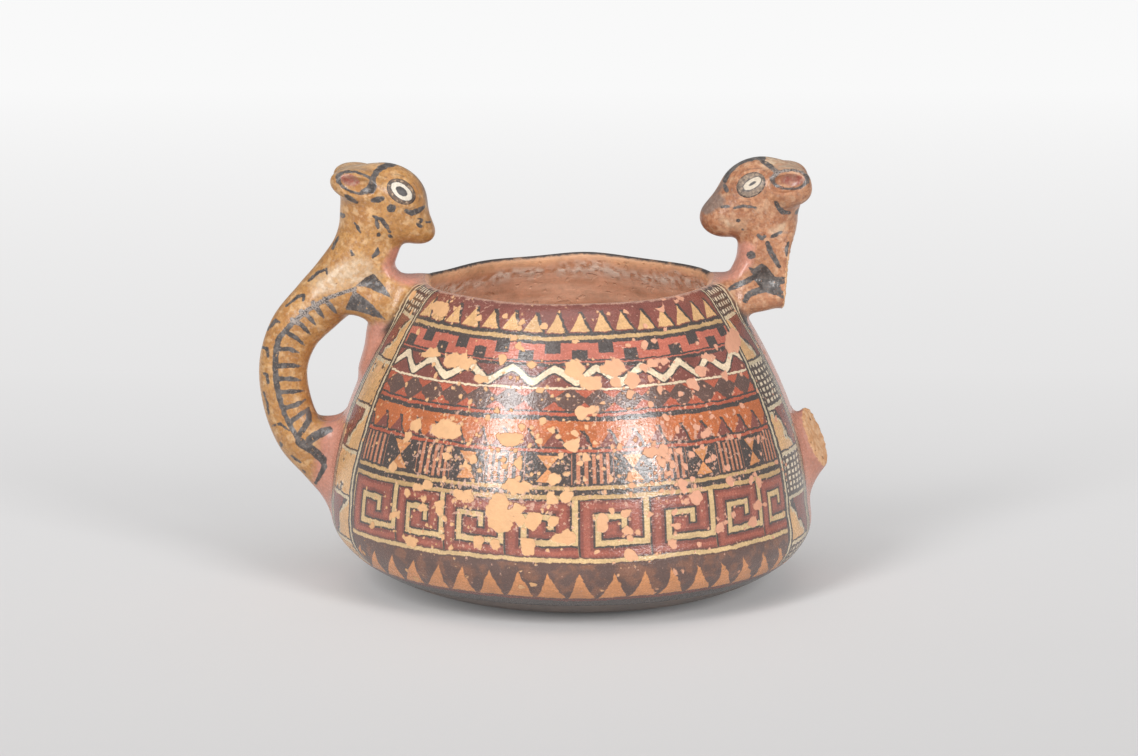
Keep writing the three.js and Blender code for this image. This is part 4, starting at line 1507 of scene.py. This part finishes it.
def banded(tree, p, v):
    """All bands of the wall, the strips beside the handles and the pink slip under them."""
    paint = lines(tree, v, BLACK_BROWN, BASE_LINES)
    bands = [
        (FANG_LEVEL, fangs(tree, p, v)),
        (FRET_LINE_LEVEL, lines(tree, v, BLACK_BROWN, FRET_LINES)),
        (FRET_LEVEL, frets(tree, v, attribute(tree, "fret_beat"))),
        (BAR_LINE_LEVEL, lines(tree, v, LINE_CREAM, BAR_LINES)),
        (BAR_LEVEL, bars_and_glasses(tree, v, attribute(tree, "bar_beat"))),
        (SAW_LINE_LEVEL, lines(tree, v, BLACK, SAW_LINES)),
        (SAW_LEVEL, saw_row(tree, p, v)),
        (DIAMOND_LINE_LEVEL, lines(tree, v, BLACK, DIAMOND_LINES)),
        (DIAMOND_LEVEL, diamonds(tree, p, v)),
        (ZIGZAG_LEVEL, zigzag(tree, v, attribute(tree, "zigzag_beat"))),
        (RIBBON_LINE_LEVEL, lines(tree, v, BLACK, RIBBON_LINES)),
        (RIBBON_LEVEL, stepped_ribbon(tree, v, attribute(tree, "square_beat"))),
        (TOOTH_LINE_LEVEL, lines(tree, v, BLACK, TOOTH_LINES)),
        (TOOTH_LEVEL, tooth_row(tree, p, v, MAROON, BUFF, RIM_TOOTH)),
    ]
    tops = [level for level, _ in bands[1:]] + [PAINT_TOP]
    for (low, band), high in zip(bands, tops):
        paint.lay(band, between(v, low, high))
    aside = abs(p)
    paint.lay(side_strip(tree, p, v), both(above(aside, STRIP_FROM, STRIP_SOFT), above(v, STRIP_FOOT)))
    paint.lay(PINK_SLIP, both(above(aside, STRIP_TO, STRIP_SOFT), above(v, PINK_FROM)))
    return paint.lay(BLACK, both(between(aside, *HANDLE_INK), above(v, HANDLE_INK_FROM, 3.0)))


def chipped(tree, wear, ragged):
    """1 where the slip has come off: large chips, sheets, and dots of three sizes."""
    large = attribute(tree, "flake") + ragged * 1.8 + sway(noise(tree, 4.5), 4.4) + 0.3
    sheets = (noise(tree, 7.0, 4.0) - wear * 0.42 + 0.02) * 12.0
    share = wear * 0.9 + sway(noise(tree, 14.0), 0.9)
    shares = (share, share * 0.95, share * 0.6 + 0.03)
    dots = [spots(tree, *sizes, part) for sizes, part in zip(DOT_SIZES, shares)]
    return below(least(large, sheets, *dots), 0.0, 0.3)


def inner_paint(tree, p, mottle, ragged, back):
    """Colour of the bare inside, and where a white crust lies below the far rim."""
    level = attribute(tree, "level")
    wiped = noise(tree, 1.0, 4.0, joined(p * 0.035, level * 0.35, back))
    paint = Paint(tree, INNER_CLAY).lay(INNER_DARK, above(wiped, 0.52, 0.25))
    wavy = level + sway(noise(tree, 20.0, 3.0), 9.0)
    paint.lay(INNER_BROWN, between(wavy, *INNER_BAND, 2.5) * 0.7)
    paint.lay(OCHRE, above(wavy, INNER_OCHRE_FROM, 2.5) * 0.8)
    paint.shaded(sway(mottle, 0.8) + ragged * 0.4)
    lumps = both(clouds(tree, 2.4, 6.0, 0.46, 0.2), clouds(tree, 9.0, 2.0, 0.42, 0.2))
    salt = both(between(wavy, *SALT_BAND, 2.8), lumps, back)
    return paint.lay(SALT, salt * 0.9), salt


def make_wall_paint():
    """A node group with the vessel's colour, roughness and height of grain, from what its points store."""
    tree = bpy.data.node_groups.new("wall_paint", "ShaderNodeTree")
    for name, kind in (("Color", "Color"), ("Roughness", "Float"), ("Height", "Float")):
        tree.interface.new_socket(name=name, in_out="OUTPUT", socket_type=f"NodeSocket{kind}")
    quick = noise(tree, 2.6)
    hasty = sway(noise(tree, 0.9, 3.0), 0.6)
    p = attribute(tree, "turn") + sway(noise(tree, 17.0), 2.4) + sway(quick, 1.1) + hasty
    v = attribute(tree, "level") + sway(noise(tree, 22.0), 1.7) + sway(quick, 1.0) + hasty
    back = attribute(tree, "back")
    inner = attribute(tree, "inner")
    wear = attribute(tree, "wear")
    mottle = noise(tree, 7.0, 4.0)
    fine = noise(tree, 0.7, 3.0)
    ragged = noise(tree, 1.8, 3.0) - 0.5
    paint = banded(tree, p, v)
    streak = noise(tree, 1.0, 3.0, joined(p * 0.12, v * 1.1))
    paint.shaded(sway(mottle, 0.7) + sway(streak, 0.5) + sway(fine, 0.5))
    slipped = 1.0 - below(v, SLIP_FROM)
    chip = chipped(tree, wear, ragged) * slipped
    paint.lay(RUBBED, below(noise(tree, 1.3, 6.0), wear * 0.16 + 0.28, 0.05) * 0.75 * slipped)
    # A thin pale film: dust, and painted sheen
    paint.lay(DUST_AND_SHEEN, noise(tree, 12.0, 5.0) * 0.07)
    bare = Paint(tree, CHIP).lay(CHIP_RED, reckon("MULTIPLY_ADD", p, 0.03, 0.1, clamp=True))
    paint.lay(bare.shaded(sway(noise(tree, 2.2, 3.0), 0.35)), chip)
    inside, salt = inner_paint(tree, p, mottle, ragged, back)
    paint.lay(inside, above(inner, 0.5, 0.3))
    crest = attribute(tree, "level") + ragged * 1.2
    paint.lay(BLACK, both(above(crest, RIM_BLACK_FROM, 0.7), back, clouds(tree, 5.0, 4.0, 0.3, 0.3)))
    paint.lay(RIM_PALE, both(above(crest, RIM_PALE_FROM, 0.3), 1.0 - back) * 0.7)
    brushed = noise(tree, 1.0, 2.0, joined(p * 0.5, v * 2.0, back))
    height = sway(brushed, 0.06) + sway(noise(tree, 0.8, 2.0), 0.08) + sway(noise(tree, 2.6, 1.0), 0.08)
    height = height - chip * CHIP_DEPTH + salt * inner * SALT_RISE
    dull = either(chip, above(inner, 0.5))
    roughness = dull * 0.4 + sway(mottle, 0.16) + sway(fine, 0.3) + 0.25
    output = tree.nodes.new("NodeGroupOutput")
    tree.links.new(paint.colour, output.inputs["Color"])
    tree.links.new(roughness.socket, output.inputs["Roughness"])
    tree.links.new(height.socket, output.inputs["Height"])
    return tree


# Materials


class Clay:
    """A material with its Principled shader, and the vessel's paint for what is smeared onto the wall."""

    def __init__(self, name):
        self.material = bpy.data.materials.new(name)
        self.material.use_nodes = True
        self.tree = self.material.node_tree
        self.shader = self.tree.nodes["Principled BSDF"]

    def wall_paint(self):
        """Colour, roughness and height of the vessel's own paint."""
        group = self.tree.nodes.new("ShaderNodeGroup")
        group.node_tree = WALL_PAINT
        fields = [Field(self.tree, group.outputs[name]) for name in ("Roughness", "Height")]
        return group.outputs["Color"], *fields

    def finish(self, colour, roughness, height):
        """Joins colour, roughness and the height of the grain in millimetres to the shader."""
        bump = self.tree.nodes.new("ShaderNodeBump")
        bump.inputs["Distance"].default_value = MM
        self.tree.links.new(height.socket, bump.inputs["Height"])
        self.tree.links.new(bump.outputs["Normal"], self.shader.inputs["Normal"])
        self.tree.links.new(roughness.socket, self.shader.inputs["Roughness"])
        self.tree.links.new(colour, self.shader.inputs["Base Color"])
        return self.material


def wall_material():
    """The vessel's paint with the gloss of burnished slip."""
    clay = Clay("painted_wall")
    clay.shader.inputs["Specular IOR Level"].default_value = WALL_GLOSS
    return clay.finish(*clay.wall_paint())


def base_material():
    """Black slip, rubbed to a dull shine, with brown scuffs; bare clay on the floor inside."""
    clay = Clay("black_base")
    tree = clay.tree
    level = attribute(tree, "level")
    streak = noise(tree, 1.0, 3.0, joined(attribute(tree, "turn") * 0.1, level * 1.2))
    mottle = noise(tree, 9.0, 4.0)
    paint = Paint(tree, BASE_BLACK).lay(BASE_WORN, above(mottle * 0.6 + streak * 0.4, 0.52, 0.2))
    paint.lay(CHIP, below(spots(tree, 6.0, 0.1, 0.6, 0.12), 0.0, 0.2))
    within = Paint(tree, INNER_CLAY).lay(INNER_DARK, above(mottle, 0.5, 0.3))
    within.lay(INNER_BROWN, clouds(tree, 3.0, 5.0, 0.55, 0.15) * 0.6)
    top = both(above(level, BASE_TOP, 1.0), attribute(tree, "inner"))
    paint.lay(within, top)
    height = sway(streak, 0.05) + sway(noise(tree, 0.6), 0.05)
    return clay.finish(paint.colour, mottle * 0.25 + top * 0.3 + 0.3, height)


def lay_ink(paint, ragged):
    """Brush strokes and a faint line round the eye, rubbed in places, greyed by painted sheen and lit by a
    painted highlight along given lines.
    """
    tree = paint.tree
    eye_line = both(below(attribute(tree, "eye_line"), 0.2, 0.2), clouds(tree, 2.0, 3.0, 0.5, 0.1))
    paint.lay(INK, eye_line * 0.4)
    inked = below(attribute(tree, "ink") + ragged * 0.9, 0.0, 0.25)
    # Grey mottling on the ink: painted sheen
    ink = Paint(tree, INK).lay(INK_SHEEN, clouds(tree, 2.0, 4.0, 0.52, 0.2) * 0.45)
    paint.lay(ink, inked * (1.0 - clouds(tree, 0.9, 4.0, 0.67, 0.08) * 0.7))
    # Pale specks along a given line: a painted highlight on the ink
    highlight = clouds(tree, 0.5, 3.0, 0.48, 0.1) * attribute(tree, "ink_wear") * 0.55
    paint.lay(INK_HIGHLIGHT, inked * highlight)


def cat_material(name, slip, slip_deep, slip_pale):
    """Burnished slip with brush strokes, pink where it was smeared on, raw where it broke."""
    clay = Clay(name)
    tree = clay.tree
    mottle = noise(tree, 8.0, 4.0)
    ragged = noise(tree, 1.5, 3.0) - 0.5
    paint = Paint(tree, slip).lay(slip_deep, above(mottle, 0.55, 0.3) * 0.9)
    paint.lay(slip_deep, clouds(tree, 1.4, 5.0, 0.54, 0.12) * 0.6)
    paint.lay(slip_pale, below(noise(tree, 2.4, 6.0), 0.42, 0.14) * 0.6)
    paint.lay(PINK_SLIP, above(attribute(tree, "blush") + ragged * 0.8, 0.5, 0.7))
    ear = Paint(tree, EAR_RED).lay(EAR_DUST, clouds(tree, 1.6, 4.0, 0.5, 0.2) * 0.8)
    paint.lay(ear, below(attribute(tree, "red") + ragged * 1.2, 0.0, 0.6))
    # Grey along the front of the face, by given lines
    paint.lay(FACE_GREY, below(attribute(tree, "smoke") + ragged * 1.8, 0.0, 1.2) * 0.75)
    washed = clouds(tree, 2.4, 5.0, 0.46, 0.2) * 0.8
    paint.lay(PALE_WASH, below(attribute(tree, "pale") + ragged * 3.0, 0.0, 3.0) * washed)
    paint.shaded(sway(noise(tree, 1.1, 3.0), 0.8) + sway(noise(tree, 16.0, 3.0), 0.5))
    lay_ink(paint, ragged)
    # A thin pale film and pale specks: dust, and painted sheen
    paint.lay(DUST_AND_SHEEN, noise(tree, 9.0, 5.0) * 0.06 + clouds(tree, 0.8, 4.0, 0.6, 0.1) * 0.15)
    pits = below(spots(tree, 3.4, 0.08, 0.4, 0.3), 0.0, 0.15)
    paint.lay(PIT, pits * 0.7)
    raw = attribute(tree, "raw")
    temper = spots(tree, 2.1, 0.1, 0.55, 0.45)
    broken = Paint(tree, RAW).lay(RAW_PALE, clouds(tree, 2.2, 4.0, 0.5, 0.2))
    broken.lay(PIT, below(temper, 0.0, 0.2) * 0.8)
    paint.lay(broken, above(raw, 0.5, 0.2))
    colour, wall_rough, wall_height = clay.wall_paint()
    on_wall = attribute(tree, "on_wall")
    paint.lay(colour, on_wall)
    height = sway(noise(tree, 0.9, 2.0), 0.1) + sway(noise(tree, 3.0, 1.0), 0.12) - pits * 0.1
    height = height - raw * (below(temper, 0.0, 0.3) * 0.2 - sway(noise(tree, 0.8, 3.0), 0.3))
    rough_slip = reckon("MULTIPLY_ADD", raw, 0.5, 0.3) + sway(mottle, 0.25)
    rough_all = rough_slip + (wall_rough - rough_slip) * on_wall
    return clay.finish(paint.colour, rough_all, height + (wall_height - height) * on_wall)


def eye_material():
    """White ring and dark pupil in a brown lid with a dark edge."""
    clay = Clay("eye_slip")
    tree = clay.tree
    ragged = sway(noise(tree, 1.0, 3.0), 0.35)
    ring = attribute(tree, "ring") + ragged
    dim = attribute(tree, "dim")
    paint = Paint(tree, LID).lay(LID_PALE, clouds(tree, 1.0, 4.0, 0.54, 0.15))
    paint.lay(LID_GREY, dim * 0.8)
    paint.lay(INK, below(noise(tree, 1.2, 3.0), 0.42, 0.1) * 0.6)
    edge = above(attribute(tree, "lid") + ragged * 0.3, LID_EDGE, 0.08)
    paint.lay(INK, edge * (1.0 - clouds(tree, 0.8, 4.0, 0.5, 0.1) * 0.8))
    paint.lay(INK, below(ring, 0.25, 0.15) * 0.8)
    white = Paint(tree, EYE_WHITE).lay(EYE_DIM, dim)
    paint.lay(white, below(ring, 0.0, 0.15))
    paint.lay(INK, below(attribute(tree, "pupil") + ragged, 0.0, 0.15))
    paint.shaded(sway(noise(tree, 0.7, 3.0), 0.6))
    height = sway(noise(tree, 0.5), 0.06) + below(ring, 0.0, 0.3) * 0.1
    return clay.finish(paint.colour, noise(tree, 2.0) * 0.3 + 0.3, height)


# Fields and pieces of the cats


def cat_fields(piece, points, paint, raw):
    """Stores where a cat's brush strokes, pink slip, worn places and the painted highlight on its ink are.
    """
    paint_fields(piece, points)
    places = seen(points)
    inward = INK_REACH * (1.0 - smooth(np.abs(points[:, 1]), EAR_FACE, EAR_FACE + 1.0))
    ear_line = np.abs(from_oval(places, *paint["ear"])) - EAR_LINE + inward
    highlight_half, highlight_line = paint["highlit_ink"]
    eye = paint["eye"]
    eye_line = from_oval(places, eye["at"], np.array(eye["lid"]) * LID_LINE, eye["tilt"])
    radius, _, height = even(*points.T)
    away = looked_up(CLAY_TABLE, radius, height)
    blush = (1.0 - smooth(away, *BLUSH_REACH)) * (1.0 - smooth(height, *BLUSH_TOP))
    for half, line in paint["blush"]:
        blush = np.maximum(blush, 1.0 - smooth(from_line(places, line) - half, *BLUSH_EDGE))
    put_fields(
        piece,
        ink=np.minimum(ink_distance(places, paint["strokes"], paint["shapes"]), ear_line),
        ink_wear=1.0 - smooth(from_line(places, highlight_line) - highlight_half, -1.0, 1.0),
        red=from_oval(places, *paint["ear_red"]) + inward,
        smoke=np.min([from_line(places, line) - half for half, line in paint["smoke"]], axis=0),
        eye_line=np.abs(eye_line),
        pale=np.min([from_shape(places, corners) for corners in paint["pale"]], axis=0),
        blush=blush,
        on_wall=1.0 - smooth(away, *ON_WALL),
        raw=raw,
    )


def on_skin(block, skin, places, face):
    """The points of a skin that the camera sees at places, on the near side or mirrored on the far side."""
    best = np.zeros((len(places), 3))
    found = np.zeros(len(places), bool)
    for deep in np.arange(EYE_SEEK_FROM, 0.0, -EYE_SEEK_STEP):
        part = (CAMERA_BACK - deep) / CAMERA_BACK
        x, z = places[:, 0] * part, CAMERA_HIGH + (places[:, 1] - CAMERA_HIGH) * part
        points = np.stack([x, np.full(len(places), face * deep), z], axis=1)
        hit = ~found & (block.sample(skin, points) < 0.0)
        best[hit] = points[hit]
        found |= hit
    for _ in range(PROJECTIONS):
        best = best - block.sample(skin, best)[:, None] * block.slope(skin, best)
    return best


def eye_piece(name, block, skin, eye, face):
    """A low pellet pressed onto the skin, with its lid, white ring and pupil stored as distances."""
    share = np.linspace(0.0, 1.0, EYE_RINGS + 1)[1:]
    angle = np.linspace(0.0, 2 * math.pi, EYE_COLUMNS, endpoint=False)
    along = np.concatenate([[0.0], np.outer(share, np.cos(angle)).ravel()])
    across = np.concatenate([[0.0], np.outer(share, np.sin(angle)).ravel()])
    tilt = math.radians(eye["tilt"])
    cos, sin = math.cos(tilt), math.sin(tilt)
    a, b = along * eye["lid"][0], across * eye["lid"][1]
    places = np.stack([a * cos - b * sin, a * sin + b * cos], axis=1) + np.array(eye["at"])
    skin_points = on_skin(block, skin, places, face)
    outward = block.slope(skin, skin_points)
    share_all = np.hypot(along, across)
    lift = EYE_RELIEF * np.sqrt(np.clip(1.0 - share_all**2, 0.0, 1.0)) - EYE_SINK
    top = skin_points + lift[:, None] * outward
    under = skin_points - EYE_DEEP * outward
    count = len(top)
    rings = [1 + i * EYE_COLUMNS + np.arange(EYE_COLUMNS) for i in range(EYE_RINGS)]
    faces = [[0, i, j] for i, j in zip(rings[0], np.roll(rings[0], -1))]
    for low, high in zip(rings, rings[1:]):
        faces += np.stack([low, high, np.roll(high, -1), np.roll(low, -1)], axis=1).tolist()
    faces += [[count + i for i in reversed(corner)] for corner in faces]
    rim = rings[-1]
    faces += np.stack([rim, rim + count, np.roll(rim, -1) + count, np.roll(rim, -1)], axis=1).tolist()
    if face == NEAR:
        faces = [corner[::-1] for corner in faces]
    piece = make_object(name, np.concatenate([top, under]), faces)
    ring_at = np.array(eye["at"]) + eye["shift"] * np.array([cos, sin])
    put_fields(
        piece,
        lid=np.tile(share_all, 2),
        dim=np.full(2 * count, eye["dim"]),
        ring=np.tile(from_oval(places, ring_at, eye["ring"], eye["tilt"]), 2),
        pupil=np.tile(from_oval(places, ring_at, eye["pupil"], eye["tilt"]), 2),
    )
    return piece


# Stage


def area_light(name, turn, rise, size, power):
    """A soft lamp aimed at the pot, turn degrees to the right of the front and rise degrees up."""
    lamp = bpy.data.lights.new(name, "AREA")
    lamp.shape = "RECTANGLE"
    lamp.size, lamp.size_y = size
    lamp.energy = power
    light = bpy.data.objects.new(name, lamp)
    bpy.context.scene.collection.objects.link(light)
    turn, rise = math.radians(turn), math.radians(rise)
    reach = LAMP_AWAY * math.cos(rise)
    height = AIM_HEIGHT * MM + LAMP_AWAY * math.sin(rise)
    light.location = (reach * math.sin(turn), -reach * math.cos(turn), height)
    light.rotation_euler = (math.pi / 2 - rise, 0.0, turn)


def floor_material():
    """Pale paper, painted darker towards the front as painted shade: it keeps shadows near the pot,
    lightened a little by glow as painted light, and glows to the camera further back, lighter with distance.
    """
    clay = Clay("floor")
    tree = clay.tree
    parts = tree.nodes.new("ShaderNodeSeparateXYZ")
    tree.links.new(place_socket(tree), parts.inputs[0])
    deep = Field(tree, parts.outputs[1]) + FLOOR_BACK
    clay.shader.inputs["Roughness"].default_value = FLOOR_ROUGHNESS
    # Darker towards the front: painted shade
    near = Paint(tree, FLOOR_FRONT_SHADE).lay(FLOOR_MIDDLE, reckon("MULTIPLY_ADD", deep, *PAPER_RAMP, clamp=True))
    tree.links.new(near.colour, clay.shader.inputs["Base Color"])
    far = Paint(tree, FLOOR_GLOW).lay(FLOOR_FAR, reckon("MULTIPLY_ADD", deep, *FAR_RAMP, clamp=True))
    glow = tree.nodes.new("ShaderNodeEmission")
    tree.links.new(far.colour, glow.inputs["Color"])
    path = tree.nodes.new("ShaderNodeLightPath")
    kinds = ("Is Camera Ray", "Is Glossy Ray", "Is Transmission Ray")
    rays = either(*[Field(tree, path.outputs[kind]) for kind in kinds])
    # Glow starts at the pot and is full a little behind it, so it also lightens the pot's shadow: painted
    # light
    share = rays * reckon("MULTIPLY_ADD", deep, *GLOW_RAMP, clamp=True)
    mix = tree.nodes.new("ShaderNodeMixShader")
    tree.links.new(share.socket, mix.inputs[0])
    tree.links.new(clay.shader.outputs[0], mix.inputs[1])
    tree.links.new(glow.outputs[0], mix.inputs[2])
    tree.links.new(mix.outputs[0], tree.nodes["Material Output"].inputs["Surface"])
    return clay.material


def set_stage():
    """Floor, lamps, world and camera."""
    scene = bpy.context.scene
    scene.view_settings.view_transform = "Standard"
    bpy.ops.mesh.primitive_plane_add(size=FLOOR_SIZE, location=(0.0, FLOOR_BACK, 0.0))
    floor = bpy.context.object
    floor.name = "floor"
    floor.data.materials.append(floor_material())
    for name, (turn, rise, size, power) in LAMPS.items():
        area_light(name, turn, rise, size, power)
    world = bpy.data.worlds.new("world")
    scene.world = world
    world.use_nodes = True
    background = world.node_tree.nodes["Background"]
    background.inputs["Color"].default_value = WORLD_COLOUR
    background.inputs["Strength"].default_value = WORLD_STRENGTH
    lens = bpy.data.cameras.new("camera")
    lens.lens = LENS
    lens.sensor_width = SENSOR
    camera = bpy.data.objects.new("camera", lens)
    scene.collection.objects.link(camera)
    camera.location = (0.0, -CAMERA_BACK * MM, CAMERA_HIGH * MM)
    camera.rotation_euler = (math.pi / 2 - CAMERA_RISE, 0.0, 0.0)
    scene.camera = camera


def put_down(piece, material, nodes):
    """Gives a piece its material, hangs it from the root body and hides the solids it stands for."""
    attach(piece, "root")
    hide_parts(*nodes)
    piece.data.materials.append(material)


def nodes_of(start):
    """Solids of one cat, without its eyes."""
    return [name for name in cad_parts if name.startswith(start) and not name.endswith("_eye")]


WALL_PAINT = make_wall_paint()
wall, wall_points = turned("vessel_wall", wall_outline(), WALL_COLUMNS)
base, base_points = turned("vessel_base", base_outline(), WALL_COLUMNS)
for piece, points in ((wall, wall_points), (base, base_points)):
    piece.data.set_sharp_from_angle(angle=math.radians(SHARP_ANGLE))
    paint_fields(piece, points)
wall_nodes = ["foot_wall", "lower_wall", "middle_wall", "upper_wall", "rim_coil"]
put_down(wall, wall_material(), wall_nodes)
put_down(base, base_material(), ["base_disc"])

left_slip = cat_material("left_cat_slip", LEFT_SLIP, LEFT_DEEP, LEFT_PALE)
right_slip = cat_material("right_cat_slip", RIGHT_SLIP, RIGHT_DEEP, RIGHT_PALE)
eye_slip = eye_material()
left_block, left_piece, left_points, left_skin = left_cat()
cat_fields(left_piece, left_points, LEFT_PAINT, np.zeros(len(left_points)))
put_down(left_piece, left_slip, nodes_of("left_cat"))
right_block, right_piece, right_points, right_skin = right_cat()
neck_raw = smooth(neck_break(*right_points.T), *BREAK_SOFT) * (1.0 - smooth(right_points[:, 2], *RAW_FADE))
cat_fields(right_piece, right_points, RIGHT_PAINT, neck_raw)
put_down(right_piece, right_slip, nodes_of("right_cat"))
_, stub_piece, stub_points, _ = right_stub()
cat_fields(stub_piece, stub_points, STUB_PAINT, smooth(stub_break(*stub_points.T), *BREAK_SOFT))
put_down(stub_piece, right_slip, ["right_handle_stub"])
for start, block, skin, eye in (
    ("left_cat", left_block, left_skin, LEFT_EYE),
    ("right_cat", right_block, right_skin, RIGHT_EYE),
):
    for word, face in (("near", NEAR), ("far", FAR)):
        piece = eye_piece(f"{start}_{word}_eye_pellet", block, skin, eye, face)
        put_down(piece, eye_slip, [f"{start}_{word}_eye"])

set_stage()
